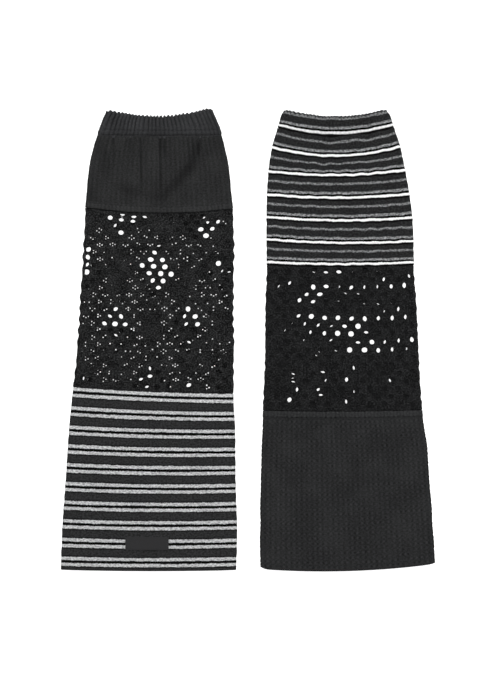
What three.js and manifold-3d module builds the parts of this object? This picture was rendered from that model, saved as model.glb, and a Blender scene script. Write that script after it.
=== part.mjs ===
// A pair of knitted leg warmers laid flat side by side, the narrow gathered end away from the viewer.
// Millimetres: x runs across the pair, y up the leg to the gathered end, z up from the surface they lie on.
import * as THREE from "three";
import { mergeVertices } from "three/addons/utils/BufferGeometryUtils.js";
import Module from "manifold-3d";

const wasm = await Module();
wasm.setup();

// Seams, cloth walls and side folds
const SEAM_GAP = 0.3;
const WALL = { casing: 3.0, waffle: 1.8, soft: 1.8, jersey: 1.4, net: 1.4 };
const OUTER_FOLD_REACH = 2.6;
const INNER_FOLD_REACH = 0.6;
const FOLD_ANGLES = [60, 20, -20, -60];
const LACE_FOLD_ANGLES = [15, 50];

// Gathers drawn up by the elastic in each casing
const GATHERS = 27;
const GATHER_DEPTH = 1.1;
const RIM_SCALLOP = 0.7;

// Columns of points across one face
const SOFT_COLUMNS = 28;
const PLAIN_COLUMNS = 12;
const BACK_COLUMNS = 8;
const LACE_COLUMNS = 10;

// A seam allowance pressed to one side makes a raised band along the seam
const BAND_WIDTH = 6.2;
const BAND_RISE = 0.7;
const BAND_SLOPE = 1.0;

// Lines across each leg warmer, from the rim to the hem. left and right are the side folds, leftY and rightY the
// ends of the line there, sag is how far its middle hangs below its ends, and height is the top of the cloth.
const LEFT_LINES = {
  rim: { left: -145.4, right: -38.3, leftY: 236.8, rightY: 238.0, sag: 6.3, height: 7.0 },
  lip: { left: -146.1, right: -37.4, leftY: 235.2, rightY: 236.3, sag: 6.1, height: 8.2 },
  waist: { left: -149.2, right: -33.3, leftY: 227.3, rightY: 228.4, sag: 4.6, height: 8.6 },
  elastic: { left: -152.2, right: -29.5, leftY: 218.6, rightY: 218.6, sag: 2.1, height: 8.2 },
  stitch: { left: -155.1, right: -27.0, leftY: 210.5, rightY: 210.3, sag: 0.8, height: 6.6 },
  calf: { left: -159.9, right: -23.3, leftY: 195.4, rightY: 195.4, sag: 1.5, height: 5.4 },
  fullness: { left: -163.9, right: -20.0, leftY: 174.8, rightY: 174.8, sag: 2.6, height: 4.8 },
  straight: { left: -165.9, right: -17.9, leftY: 154.2, rightY: 154.2, sag: 4.1, height: 4.4 },
  laceTop: { left: -167.3, right: -15.9, leftY: 136.2, rightY: 135.1, sag: 5.2, height: 4.2 },
  laceHigh: { left: -169.3, right: -14.8, leftY: 92.4, rightY: 92.4, sag: 3.1, height: 3.3 },
  laceMiddle: { left: -172.6, right: -15.6, leftY: 40.9, rightY: 38.8, sag: 2.1, height: 3.3 },
  laceLow: { left: -175.9, right: -14.7, leftY: -10.6, rightY: -13.7, sag: 1.5, height: 3.3 },
  laceFoot: { left: -179.7, right: -15.2, leftY: -48.7, rightY: -55.4, sag: 1.4, height: 3.4 },
  flareHigh: { left: -184.4, right: -13.8, leftY: -93.0, rightY: -97.1, sag: 1.5, height: 3.3 },
  flareMiddle: { left: -187.8, right: -13.2, leftY: -144.5, rightY: -146.6, sag: 1.5, height: 3.3 },
  flareLow: { left: -191.3, right: -11.9, leftY: -196.0, rightY: -197.0, sag: 1.5, height: 3.3 },
  hem: { left: -192.8, right: -12.3, leftY: -236.2, rightY: -236.4, sag: 1.4, height: 3.4 },
};
const RIGHT_LINES = {
  rim: { left: 37.9, right: 142.2, leftY: 236.1, rightY: 236.9, sag: 6.1, height: 7.0 },
  lip: { left: 37.1, right: 143.0, leftY: 234.5, rightY: 235.2, sag: 6.4, height: 8.2 },
  waist: { left: 33.8, right: 146.8, leftY: 227.5, rightY: 228.1, sag: 8.0, height: 8.6 },
  elastic: { left: 31.6, right: 148.9, leftY: 222.0, rightY: 222.4, sag: 9.0, height: 8.2 },
  stitch: { left: 30.5, right: 149.9, leftY: 218.6, rightY: 218.8, sag: 9.7, height: 6.6 },
  calf: { left: 24.8, right: 156.5, leftY: 198.4, rightY: 199.0, sag: 9.4, height: 5.4 },
  fullness: { left: 21.4, right: 161.6, leftY: 173.7, rightY: 174.9, sag: 4.8, height: 4.8 },
  straight: { left: 20.1, right: 165.5, leftY: 149.7, rightY: 150.3, sag: 3.8, height: 4.4 },
  even: { left: 19.3, right: 169.5, leftY: 108.0, rightY: 106.5, sag: 3.0, height: 4.2 },
  laceTop: { left: 19.5, right: 169.4, leftY: 76.9, rightY: 76.9, sag: 1.9, height: 4.2 },
  laceHigh: { left: 18.1, right: 171.5, leftY: 40.9, rightY: 40.9, sag: 1.5, height: 3.5 },
  laceLow: { left: 18.0, right: 174.9, leftY: -10.6, rightY: -10.6, sag: 1.3, height: 3.5 },
  laceFoot: { left: 14.9, right: 179.3, leftY: -73.0, rightY: -72.4, sag: 1.2, height: 4.0 },
  flareHigh: { left: 13.9, right: 184.3, leftY: -113.6, rightY: -111.5, sag: 1.5, height: 4.2 },
  flareMiddle: { left: 13.1, right: 186.5, leftY: -144.5, rightY: -141.4, sag: 2.1, height: 4.2 },
  flareLow: { left: 12.4, right: 190.9, leftY: -206.3, rightY: -201.2, sag: 3.4, height: 4.2 },
  hem: { left: 12.9, right: 192.5, leftY: -236.4, rightY: -229.9, sag: 4.3, height: 4.3 },
};

// Soft folds that run down from the gathers. Each starts at x, y, ends at toX, toY, is as wide as width to each
// side, and stands up by rise, or lies below the cloth where rise is less than nothing.
const LEFT_FOLDS = [
  { x: -109, y: 212, toX: -108, toY: 150, width: 6, rise: 1.0 },
  { x: -92, y: 212, toX: -91, toY: 156, width: 6, rise: 0.9 },
  { x: -130, y: 212, toX: -134, toY: 182, width: 6, rise: 0.7 },
  { x: -70, y: 212, toX: -72, toY: 186, width: 5, rise: 0.6 },
  { x: -50, y: 212, toX: -84, toY: 145, width: 9, rise: -0.7 },
];
const RIGHT_FOLDS = [
  { x: 62, y: 214, toX: 58, toY: 176, width: 6, rise: 0.7 },
  { x: 85, y: 212, toX: 86, toY: 158, width: 6, rise: 1.0 },
  { x: 111, y: 213, toX: 115, toY: 166, width: 6, rise: 0.9 },
  { x: 128, y: 216, toX: 136, toY: 178, width: 5, rise: 0.7 },
];

// Diamonds of large holes in the lace: each has four holes on a side, so rows of 1, 2, 3, 4, 3, 2 and 1
const DIAMOND_SIDE = 4;
const HOLE_PITCH = 11.6;
const HOLE_ROW = 7.3;
const HOLE_RADIUS = 3.0;
const HOLE_FLATTENING = 0.9;
const HOLE_SIDES = 6;
const HOLE_CUTTER = 12;
const HOLE_TO_FOLD = 6.8;
const HOLE_TO_SEAM = 3.8;
const FRONT_DIAMONDS = [
  { x: -132.6, y: 127.4 },
  { x: -51.0, y: 127.4 },
  { x: -170.7, y: 69.7 },
  { x: -96.0, y: 68.0 },
  { x: -21.0, y: 69.7 },
  { x: -136.2, y: 9.8 },
  { x: -61.8, y: 9.8 },
  { x: -173.8, y: -48.4 },
  { x: -99.0, y: -48.4 },
  { x: -24.4, y: -48.4 },
];
const BACK_DIAMONDS = [
  { x: -129.5, y: 130.0 },
  { x: -48.6, y: 130.0 },
  { x: -166.6, y: 76.9 },
  { x: -90.2, y: 75.3 },
  { x: -17.0, y: 76.9 },
  { x: -136.2, y: 24.3 },
  { x: -61.8, y: 24.3 },
  { x: -170.0, y: -30.0 },
  { x: -100.6, y: -28.1 },
  { x: -27.0, y: -30.0 },
];

// The label lies over the lower panel of the left leg warmer
const LABEL = { left: -126.1, right: -81.5, top: 0.13, bottom: 0.46, thickness: 0.6, columns: 4 };

const CLOTH = {
  casing: { color: 0x333436, roughness: 0.95 },
  waffle: { color: 0x2b2c2c, roughness: 0.95 },
  lace: { color: 0x212223, roughness: 0.9 },
  greyStripe: { color: 0x4a4b4d, roughness: 0.95 },
  whiteStripe: { color: 0x505153, roughness: 0.95 },
  label: { color: 0x303134, roughness: 0.7 },
};

function mix(a, b, share) {
  return a + (b - a) * share;
}

// A line part of the way from one line to another.
function between(upper, lower, share) {
  return Object.fromEntries(Object.keys(upper).map((key) => [key, mix(upper[key], lower[key], share)]));
}

function moved(line, down, rise = 0) {
  return { ...line, leftY: line.leftY - down, rightY: line.rightY - down, height: line.height + rise };
}

// A point on a line: across runs from -1 at the left fold to 1 at the right one.
function pointOn(line, across) {
  const middle = (line.left + line.right) / 2;
  const half = (line.right - line.left) / 2;
  const level = mix(line.leftY, line.rightY, (across + 1) / 2);
  return { x: middle + half * across, y: level - line.sag * (1 - across * across) };
}

function acrossAt(line, x) {
  return (2 * x - line.left - line.right) / (line.right - line.left);
}

function atX(line, x, z) {
  return [x, pointOn(line, acrossAt(line, x)).y, z];
}

// How far the folds below the gathers raise the cloth at a point.
function foldRelief(folds, x, y) {
  return folds.reduce((sum, fold) => {
    const along = THREE.MathUtils.clamp((y - fold.toY) / (fold.y - fold.toY), 0, 1);
    const offset = (x - mix(fold.toX, fold.x, along)) / fold.width;
    return sum + fold.rise * THREE.MathUtils.smoothstep(along, 0, 0.6) * Math.exp(-offset * offset);
  }, 0);
}

// The ring round a flattened tube at one line: the front from left to right, the right fold, the back from right
// to left, and the left fold. The outside has inset 0, and the inside lies one wall further in.
function ring(line, { inset, reach, columns, relief }) {
  const start = line.left + inset + reach;
  const end = line.right - inset - reach;
  const halfHeight = (line.height - 2 * inset) / 2;
  const middle = line.height / 2;
  const points = [];
  for (let i = 0; i <= columns; i += 1) {
    const x = mix(start, end, i / columns);
    const [, y] = atX(line, x, 0);
    const { up, out } = relief(x, y, i);
    points.push([x, y + out, line.height - inset + up]);
  }
  const folded = (edge, side, degrees) => {
    const angle = THREE.MathUtils.degToRad(degrees);
    return atX(line, edge + side * reach * Math.cos(angle), middle + halfHeight * Math.sin(angle));
  };
  FOLD_ANGLES.forEach((degrees) => points.push(folded(end, 1, degrees)));
  for (let i = BACK_COLUMNS; i >= 0; i -= 1) {
    points.push(atX(line, mix(start, end, i / BACK_COLUMNS), inset));
  }
  FOLD_ANGLES.toReversed().forEach((degrees) => points.push(folded(start, -1, degrees)));
  return points;
}

function geometryOf(points, faces) {
  const geometry = new THREE.BufferGeometry();
  geometry.setAttribute("position", new THREE.Float32BufferAttribute(points.flat(), 3));
  geometry.setIndex(faces);
  return geometry;
}

function addQuad(faces, a, b, c, d) {
  faces.push(a, b, c, a, c, d);
}

// A tube with a wall: the outer rings run down it and the inner rings back up, and the last joins the first.
function tube(outer, inner) {
  const rings = [...outer, ...inner.toReversed()];
  const size = rings[0].length;
  const faces = [];
  rings.forEach((points, i) => {
    const here = i * size;
    const next = ((i + 1) % rings.length) * size;
    points.forEach((point, k) => {
      const after = (k + 1) % size;
      addQuad(faces, here + k, next + k, next + after, here + after);
    });
  });
  return geometryOf(rings.flat(), faces);
}

// A sheet with a thickness: every row holds as many points on its top as on its bottom, from left to right.
function sheet(rows) {
  const width = rows[0].top.length;
  const size = 2 * width;
  const faces = [];
  const last = (rows.length - 1) * size;
  for (let i = 0; i < rows.length - 1; i += 1) {
    for (let k = 0; k < size; k += 1) {
      const after = (k + 1) % size;
      addQuad(faces, i * size + k, (i + 1) * size + k, (i + 1) * size + after, i * size + after);
    }
  }
  for (let k = 0; k < width - 1; k += 1) {
    addQuad(faces, k, k + 1, size - 2 - k, size - 1 - k);
    addQuad(faces, last + k, last + size - 1 - k, last + size - 2 - k, last + k + 1);
  }
  return geometryOf(rows.flatMap((row) => [...row.top, ...row.bottom.toReversed()]), faces);
}

function flat() {
  return { up: 0, out: 0 };
}

// One tube of cloth between its first and last line, which end half a seam gap short of their seams.
function clothTube(lines, wall, columns, relief = flat) {
  const ends = [moved(lines[0], SEAM_GAP / 2), ...lines.slice(1, -1), moved(lines.at(-1), -SEAM_GAP / 2)];
  const inside = [ends[0], ...(lines.length > 4 ? [ends[Math.floor(lines.length / 2)]] : []), ends.at(-1)];
  const outer = ends.map((line, row) => {
    const raised = (x, y, column) => relief(x, y, column, row);
    return ring(line, { inset: 0, reach: OUTER_FOLD_REACH, columns, relief: raised });
  });
  const inner = inside.map((line) => ring(line, { inset: wall, reach: INNER_FOLD_REACH, columns, relief: flat }));
  return tube(outer, inner);
}

// The turned top edge: each gather is one ridge, and the rim is a little higher between the ridges' valleys.
function gatheredCasing(lines) {
  const depthByRow = [0.6, 1, 1, 0.8, 0.3];
  return clothTube(lines, WALL.casing, 2 * GATHERS, (x, y, column, row) => ({
    up: column % 2 ? -GATHER_DEPTH * depthByRow[row] : 0,
    out: row === 0 && column % 2 ? -RIM_SCALLOP : 0,
  }));
}

function softPanel(lines, wall, folds) {
  return clothTube(lines, wall, SOFT_COLUMNS, (x, y) => ({ up: foldRelief(folds, x, y), out: 0 }));
}

// One face of the lace tube. Its outside rounds over at the side folds and its inside is flat.
function laceFace(lines, side) {
  const ends = [moved(lines[0], SEAM_GAP / 2), ...lines.slice(1, -1), moved(lines.at(-1), -SEAM_GAP / 2)];
  return sheet(
    ends.map((line) => {
      const start = line.left + OUTER_FOLD_REACH;
      const end = line.right - OUTER_FOLD_REACH;
      const half = line.height / 2;
      const places = [
        ...LACE_FOLD_ANGLES.map((degrees) => ({ edge: start, turn: -1, degrees })),
        ...Array.from({ length: LACE_COLUMNS + 1 }, (unused, i) => ({
          edge: mix(start, end, i / LACE_COLUMNS),
          turn: 0,
          degrees: 90,
        })),
        ...LACE_FOLD_ANGLES.toReversed().map((degrees) => ({ edge: end, turn: 1, degrees })),
      ];
      const outside = places.map(({ edge, turn, degrees }) => {
        const angle = THREE.MathUtils.degToRad(degrees);
        const x = edge + turn * OUTER_FOLD_REACH * Math.cos(angle);
        return atX(line, x, half + side * half * Math.sin(angle));
      });
      const inside = outside.map(([x, y]) => [x, y, half + (side * SEAM_GAP) / 2]);
      return side > 0 ? { top: outside, bottom: inside } : { top: inside, bottom: outside };
    }),
  );
}

// The side folds and the two seams at a height in the lace, for keeping its holes on the cloth.
function roomAt(lines, x, y) {
  const row = Math.max(1, lines.findIndex((line) => line.leftY <= y));
  const share = (y - lines[row - 1].leftY) / (lines[row].leftY - lines[row - 1].leftY);
  const here = between(lines[row - 1], lines[row], THREE.MathUtils.clamp(share, 0, 1));
  const seams = [atX(lines[0], x, 0)[1] - y, y - atX(lines.at(-1), x, 0)[1]];
  return { toFold: Math.min(x - here.left, here.right - x), toSeam: Math.min(...seams) };
}

// The centres of all large holes that lie clear of the folds and seams.
function holeCentres(diamonds, lines) {
  const rows = 2 * DIAMOND_SIDE - 1;
  return diamonds.flatMap((diamond) =>
    Array.from({ length: rows }, (unused, row) => {
      const count = DIAMOND_SIDE - Math.abs(row - DIAMOND_SIDE + 1);
      return Array.from({ length: count }, (skipped, k) => ({
        x: diamond.x + (k - (count - 1) / 2) * HOLE_PITCH,
        y: diamond.y + (DIAMOND_SIDE - 1 - row) * HOLE_ROW,
      }));
    })
      .flat()
      .filter(({ x, y }) => {
        const { toFold, toSeam } = roomAt(lines, x, y);
        return toFold > HOLE_TO_FOLD && toSeam > HOLE_TO_SEAM;
      }),
  );
}

function solidOf(geometry) {
  const bare = geometry.clone();
  bare.deleteAttribute("normal");
  bare.deleteAttribute("uv");
  const merged = mergeVertices(bare);
  return new wasm.Manifold(
    new wasm.Mesh({
      numProp: 3,
      vertProperties: merged.attributes.position.array,
      triVerts: new Uint32Array(merged.index.array),
    }),
  );
}

function geometryFrom(solid) {
  const { vertProperties, triVerts } = solid.getMesh();
  const geometry = new THREE.BufferGeometry();
  geometry.setAttribute("position", new THREE.BufferAttribute(new Float32Array(vertProperties), 3));
  geometry.setIndex(new THREE.BufferAttribute(new Uint32Array(triVerts), 1));
  return geometry;
}

function cutHoles(geometry, centres) {
  let solid = solidOf(geometry);
  centres.forEach(({ x, y }) => {
    const cutter = new THREE.CylinderGeometry(HOLE_RADIUS, HOLE_RADIUS, HOLE_CUTTER, HOLE_SIDES);
    cutter.rotateX(Math.PI / 2).scale(1, HOLE_FLATTENING, 1).translate(x, y, 0);
    solid = solid.subtract(solidOf(cutter));
  });
  return geometryFrom(solid);
}

// The label takes its lie from the panel below it, moved out by the seam gap.
function labelSheet(upper, lower) {
  const rows = [LABEL.top, LABEL.bottom].map((share) => {
    const line = between(upper, lower, share);
    const points = (z) =>
      Array.from({ length: LABEL.columns + 1 }, (unused, i) =>
        atX(line, mix(LABEL.left, LABEL.right, i / LABEL.columns), z),
      );
    const underside = line.height + SEAM_GAP;
    return { top: points(underside + LABEL.thickness), bottom: points(underside) };
  });
  return sheet(rows);
}

// The lines of a panel whose seam allowance stands up as a band above its lower seam.
function bandedFoot(lines) {
  const seam = lines.at(-1);
  const above = lines.at(-2);
  const depth = (seam.leftY - above.leftY) * -1;
  const start = { ...between(above, seam, 1 - BAND_WIDTH / depth), height: seam.height };
  const top = moved(start, BAND_SLOPE, BAND_RISE);
  return [...lines.slice(0, -1), start, top, moved(seam, 0, BAND_RISE)];
}

// The lines of a panel whose seam allowance stands up as a band below its upper seam.
function bandedHead(lines) {
  const seam = lines[0];
  const below = lines[1];
  const depth = seam.leftY - below.leftY;
  const end = { ...between(seam, below, BAND_WIDTH / depth), height: seam.height };
  const edge = moved(end, -BAND_SLOPE, BAND_RISE);
  return [moved(seam, 0, BAND_RISE), edge, end, ...lines.slice(1)];
}

function pick(table, names) {
  return names.map((name) => table[name]);
}

const legWarmers = new THREE.Group();

function addPiece(name, geometry, cloth) {
  const mesh = new THREE.Mesh(geometry, new THREE.MeshStandardMaterial({ ...cloth, metalness: 0 }));
  mesh.name = name;
  legWarmers.add(mesh);
}

const CASING_LINES = ["rim", "lip", "waist", "elastic", "stitch"];
const LEFT_UPPER_LINES = ["stitch", "calf", "fullness", "straight", "laceTop"];
const LEFT_LACE_LINES = ["laceTop", "laceHigh", "laceMiddle", "laceLow", "laceFoot"];
const LEFT_LOWER_LINES = ["laceFoot", "flareHigh", "flareMiddle", "flareLow", "hem"];
const RIGHT_UPPER_LINES = ["stitch", "calf", "fullness", "straight", "even", "laceTop"];
const RIGHT_LACE_LINES = ["laceTop", "laceHigh", "laceLow", "laceFoot"];
const RIGHT_LOWER_LINES = ["laceFoot", "flareHigh", "flareMiddle", "flareLow", "hem"];

const leftLace = pick(LEFT_LINES, LEFT_LACE_LINES);
const laceHeight = LEFT_LINES.laceMiddle.height;
const leftLaceLines = leftLace.map((line) => ({ ...line, height: laceHeight }));

addPiece("a_casing", gatheredCasing(pick(LEFT_LINES, CASING_LINES)), CLOTH.casing);
addPiece("a_upper", softPanel(bandedFoot(pick(LEFT_LINES, LEFT_UPPER_LINES)), WALL.waffle, LEFT_FOLDS), CLOTH.waffle);
addPiece(
  "a_lace_front",
  cutHoles(laceFace(leftLaceLines, 1), holeCentres(FRONT_DIAMONDS, leftLaceLines)),
  CLOTH.lace,
);
addPiece(
  "a_lace_back",
  cutHoles(laceFace(leftLaceLines, -1), holeCentres(BACK_DIAMONDS, leftLaceLines)),
  CLOTH.lace,
);
addPiece("a_lower", clothTube(pick(LEFT_LINES, LEFT_LOWER_LINES), WALL.jersey, PLAIN_COLUMNS), CLOTH.greyStripe);
addPiece("a_label", labelSheet(LEFT_LINES.flareLow, LEFT_LINES.hem), CLOTH.label);

addPiece("b_casing", gatheredCasing(pick(RIGHT_LINES, CASING_LINES)), CLOTH.whiteStripe);
addPiece("b_upper", softPanel(pick(RIGHT_LINES, RIGHT_UPPER_LINES), WALL.soft, RIGHT_FOLDS), CLOTH.whiteStripe);
addPiece("b_lace", clothTube(pick(RIGHT_LINES, RIGHT_LACE_LINES), WALL.net, PLAIN_COLUMNS), CLOTH.lace);
addPiece(
  "b_lower",
  clothTube(bandedHead(pick(RIGHT_LINES, RIGHT_LOWER_LINES)), WALL.waffle, PLAIN_COLUMNS),
  CLOTH.waffle,
);

export default legWarmers;
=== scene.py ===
"""A pair of knitted leg warmers laid flat side by side, dressed for a soft studio picture.

Each leg warmer is a row of flattened tubes of cloth sewn end to end: a gathered casing, an upper panel, an
open lace panel and a lower panel. Sizes are in millimetres where a name says nothing else, and every mesh
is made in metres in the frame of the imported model.
"""

import logging
import math
from dataclasses import dataclass, field
from enum import Enum
from typing import Callable, Sequence

import bpy
import numpy as np
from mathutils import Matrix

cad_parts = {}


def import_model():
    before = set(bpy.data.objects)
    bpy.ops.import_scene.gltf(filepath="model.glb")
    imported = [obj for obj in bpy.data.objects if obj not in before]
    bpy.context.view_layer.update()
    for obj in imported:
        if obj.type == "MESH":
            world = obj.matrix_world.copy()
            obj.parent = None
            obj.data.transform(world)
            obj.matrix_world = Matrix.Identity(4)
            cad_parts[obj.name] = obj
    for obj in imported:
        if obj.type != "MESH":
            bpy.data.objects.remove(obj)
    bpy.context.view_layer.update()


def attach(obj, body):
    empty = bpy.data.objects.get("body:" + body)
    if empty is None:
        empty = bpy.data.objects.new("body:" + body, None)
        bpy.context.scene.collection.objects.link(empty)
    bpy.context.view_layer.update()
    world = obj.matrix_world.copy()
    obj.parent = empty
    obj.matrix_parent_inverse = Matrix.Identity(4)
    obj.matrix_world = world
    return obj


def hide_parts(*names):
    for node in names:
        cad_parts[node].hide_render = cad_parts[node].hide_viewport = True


LOG = logging.getLogger("leg_warmers")

MILLIMETRE = 0.001
# Point attributes for painted light and shade: how sunken the cloth is, darkened as painted shade, and the back
# layer, lightened as painted light on the net.
HOLLOW_SHADE = "hollow_shade"
FAR_LAYER = "far_layer"
HOLLOW_DEPTH = 1.4
CLOTH_UV = "cloth"
BODY = "root"

# Seams and side folds
SEAM_GAP = 0.3
FOLD_REACH = 2.6
FOLD_DROP = 0.22
FOLD_SOFTNESS = 9.0
GROOVE_DEPTH = 0.5
GROOVE_WIDTH = 1.1
TUCK_DEPTH = 0.9
TUCK_LENGTH = 2.4
BAND_WIDTH = 6.2
BAND_RISE = 0.7
SEAM_ALLOWANCE = 8.0

# Gathers drawn up by the elastic in a casing
GATHERS = 27
CASING_LAYERS = 3.0
RIM_REACH = 1.7
RIM_WAVE = 0.35

# Floor, lights and camera, in metres
CAMERA_PLACE = (0.00237, -0.00031, 1.6577)
CAMERA_LENS = 85.0
FLOOR_SIDE = 40.0

Points = np.ndarray
Socket = bpy.types.NodeSocket


@dataclass(frozen=True)
class KnitLine:
    """One line across a leg warmer: its side folds, the level of its two ends, how far its middle hangs
    below them, the height of the laid cloth and, on striped cloth, its place counted in stripe repeats."""

    left: float
    right: float
    left_y: float
    right_y: float
    sag: float
    height: float
    stripe: float | None = None

    @property
    def middle_y(self) -> float:
        """The level of the line's middle."""
        return (self.left_y + self.right_y) / 2 - self.sag

    def numbers(self) -> list[float]:
        """The six sizes that an outline interpolates."""
        return [self.left, self.right, self.left_y, self.right_y, self.sag, self.height]


@dataclass(frozen=True)
class Crease:
    """A soft fold from x, y to to_x, to_y: a ridge where rise is more than nothing, or else a trough."""

    x: float
    y: float
    to_x: float
    to_y: float
    width: float
    rise: float
    ends_above: bool = False

    def height(self, x: Points, y: Points) -> Points:
        """What the fold adds to the cloth at each point, less and less towards its ends."""
        run, climb = self.x - self.to_x, self.y - self.to_y
        along = ((x - self.to_x) * run + (y - self.to_y) * climb) / (run**2 + climb**2)
        along = np.clip(along, 0, 1)
        away = np.hypot(x - self.to_x - along * run, y - self.to_y - along * climb)
        fade = 0.3 if self.ends_above else 0.5
        strength = smooth_step(along, 0, fade)
        if self.ends_above:
            strength = strength * (1 - smooth_step(along, 1 - fade, 1))
        return self.rise * strength * hump(away, self.width)


@dataclass(frozen=True)
class Pucker:
    """A place where the cloth is drawn along the leg by shift, so that its stripes kink there."""

    x: float
    y: float
    width: float
    height: float
    shift: float


@dataclass(frozen=True)
class Opening:
    """One large hole of the lace, an ellipse about x, y."""

    x: float
    y: float
    across: float
    along: float


@dataclass(frozen=True)
class Weave:
    """How a waffle knit's relief is shared out: to upright ridges, to level ones and to where they cross."""

    upright: float
    level: float
    crossing: float


@dataclass(frozen=True)
class SeenThrough:
    """A place where a front hole lies over a back hole, so that the floor shows. x, y is its middle, apart
    the distance between the middles of the two holes and heading the direction between them, in degrees."""

    x: float
    y: float
    apart: float
    heading: float


class Edge(Enum):
    """How an end of a panel is finished."""

    SEAM = "sewn to the next panel"
    TUCKED = "sewn to the next panel and tucked under it"
    TURNED = "turned to the inside"


LEFT_LINES = {
    "rim": KnitLine(-145.5, -37.1, 237.7, 239.7, 7.5, 7.0),
    "lip": KnitLine(-146.2, -36.1, 236.1, 238.0, 7.9, 8.2),
    "waist": KnitLine(-149.4, -32.4, 227.3, 228.4, 4.6, 8.6),
    "elastic": KnitLine(-152.4, -28.5, 218.6, 218.6, 2.1, 8.2),
    "stitch": KnitLine(-155.4, -26.2, 210.5, 210.3, 0.8, 6.6),
    "calf": KnitLine(-160.1, -22.6, 195.4, 195.4, 1.5, 5.4),
    "fullness": KnitLine(-164.1, -18.9, 174.8, 174.8, 2.6, 4.8),
    "straight": KnitLine(-166.2, -17.0, 154.2, 154.2, 4.1, 4.4),
    "lace_top": KnitLine(-167.4, -15.3, 136.2, 135.1, 5.2, 4.2),
    "lace_high": KnitLine(-169.5, -14.1, 92.4, 92.4, 3.1, 3.3),
    "lace_middle": KnitLine(-172.8, -14.8, 40.9, 38.8, 2.1, 3.3),
    "lace_low": KnitLine(-176.1, -14.2, -10.6, -13.7, 1.5, 3.3),
    "lace_foot": KnitLine(-180.0, -14.7, -48.7, -55.4, 1.4, 3.4),
    "flare_high": KnitLine(-184.4, -12.8, -93.0, -97.1, 1.5, 3.3),
    "flare_middle": KnitLine(-187.9, -12.3, -144.5, -146.6, 1.5, 3.3),
    "flare_low": KnitLine(-191.4, -10.9, -196.0, -197.0, 1.5, 3.3),
    "hem": KnitLine(-192.8, -11.8, -237.3, -237.6, 1.2, 3.4),
}
RIGHT_LINES = {
    "rim": KnitLine(37.3, 143.7, 238.0, 238.5, 7.4, 7.0, 0.25),
    "lip": KnitLine(36.5, 144.5, 236.4, 236.8, 7.7, 8.2, 0.33),
    "waist": KnitLine(33.6, 147.7, 227.5, 228.1, 8.0, 8.6, 0.7),
    "elastic": KnitLine(31.3, 150.2, 222.0, 222.4, 9.0, 8.2, 0.97),
    "stitch": KnitLine(30.5, 151.1, 218.6, 218.8, 9.7, 6.6, 1.137),
    "calf": KnitLine(25.0, 157.4, 198.4, 199.0, 9.4, 5.4, 2.0),
    "fullness": KnitLine(21.3, 162.4, 173.7, 174.9, 4.8, 4.8, 3.0),
    "straight": KnitLine(19.9, 166.8, 149.7, 150.3, 3.8, 4.4, 4.0),
    "even": KnitLine(19.2, 170.0, 126.6, 126.0, 3.4, 4.3, 5.0),
    "steady": KnitLine(19.3, 171.1, 103.5, 101.7, 2.8, 4.2, 6.0),
    "lace_top": KnitLine(19.5, 171.5, 76.9, 76.9, 1.9, 4.2, 7.13),
    "lace_high": KnitLine(18.5, 173.7, 40.9, 40.9, 1.5, 3.5),
    "lace_low": KnitLine(18.0, 176.2, -10.6, -10.6, 1.3, 3.5),
    "lace_foot": KnitLine(15.7, 180.0, -73.0, -72.4, 1.2, 4.0),
    "flare_high": KnitLine(14.2, 185.4, -113.6, -111.5, 1.5, 4.2),
    "flare_middle": KnitLine(13.3, 187.5, -144.5, -141.4, 2.1, 4.2),
    "flare_low": KnitLine(12.5, 191.8, -206.3, -201.2, 3.4, 4.2),
    "hem": KnitLine(12.9, 193.4, -236.4, -231.1, 4.7, 4.3),
}
STRIPE_REPEAT = 23.2

# Soft folds that run down from the gathers, and the narrow creases beside them
LEFT_CREASES = (
    Crease(-109.0, 212.0, -108.0, 150.0, 6.0, 1.0),
    Crease(-92.0, 212.0, -91.0, 156.0, 6.0, 0.9),
    Crease(-130.0, 212.0, -134.0, 182.0, 6.0, 0.7),
    Crease(-70.0, 212.0, -72.0, 186.0, 5.0, 0.6),
    Crease(-51.0, 208.0, -63.0, 166.0, 5.0, -0.8, True),
    Crease(-54.0, 184.0, -94.0, 139.0, 5.5, -0.95, True),
    Crease(-82.0, 141.5, -140.0, 160.0, 5.0, -0.5, True),
    Crease(-110.4, 212.0, -109.8, 142.0, 1.4, -1.75),
    Crease(-105.6, 212.0, -105.6, 160.0, 1.3, -1.3),
    Crease(-90.4, 212.0, -89.8, 142.0, 1.4, -1.75),
    Crease(-86.4, 212.0, -86.0, 176.0, 1.3, -1.1),
    Crease(-137.8, 212.0, -138.4, 180.0, 1.3, -1.2),
    Crease(-124.0, 208.0, -125.0, 194.0, 1.2, -0.5),
    Crease(-49.0, 208.0, -52.0, 185.0, 1.6, -0.8),
)
RIGHT_CREASES = (
    Crease(62.0, 214.0, 58.0, 176.0, 6.0, 0.7),
    Crease(85.0, 212.0, 86.0, 158.0, 6.0, 1.0),
    Crease(111.0, 213.0, 115.0, 166.0, 6.0, 0.9),
    Crease(128.0, 216.0, 136.0, 178.0, 5.0, 0.7),
    Crease(79.0, 208.0, 80.0, 186.0, 1.5, -0.7),
    Crease(104.0, 209.0, 106.0, 190.0, 1.5, -0.6),
)
RIGHT_LOW_CREASES = (
    Crease(90.0, -80.0, 34.0, -108.0, 7.0, -0.6, True),
    Crease(112.0, -118.0, 109.0, -168.0, 8.0, -0.4, True),
    Crease(134.0, -88.0, 124.0, -124.0, 7.0, -0.35, True),
    Crease(30.0, -150.0, 24.0, -225.0, 9.0, 0.4),
)
RIGHT_PUCKERS = (
    Pucker(84.0, 205.0, 6.0, 7.0, -1.3),
    Pucker(99.0, 206.0, 5.0, 6.0, 0.9),
    Pucker(110.5, 207.5, 6.5, 6.0, 1.9),
    Pucker(124.0, 205.5, 5.0, 6.0, -1.0),
    Pucker(79.0, 182.0, 6.0, 6.0, -0.9),
    Pucker(108.0, 184.0, 7.0, 6.0, 0.7),
)

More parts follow.
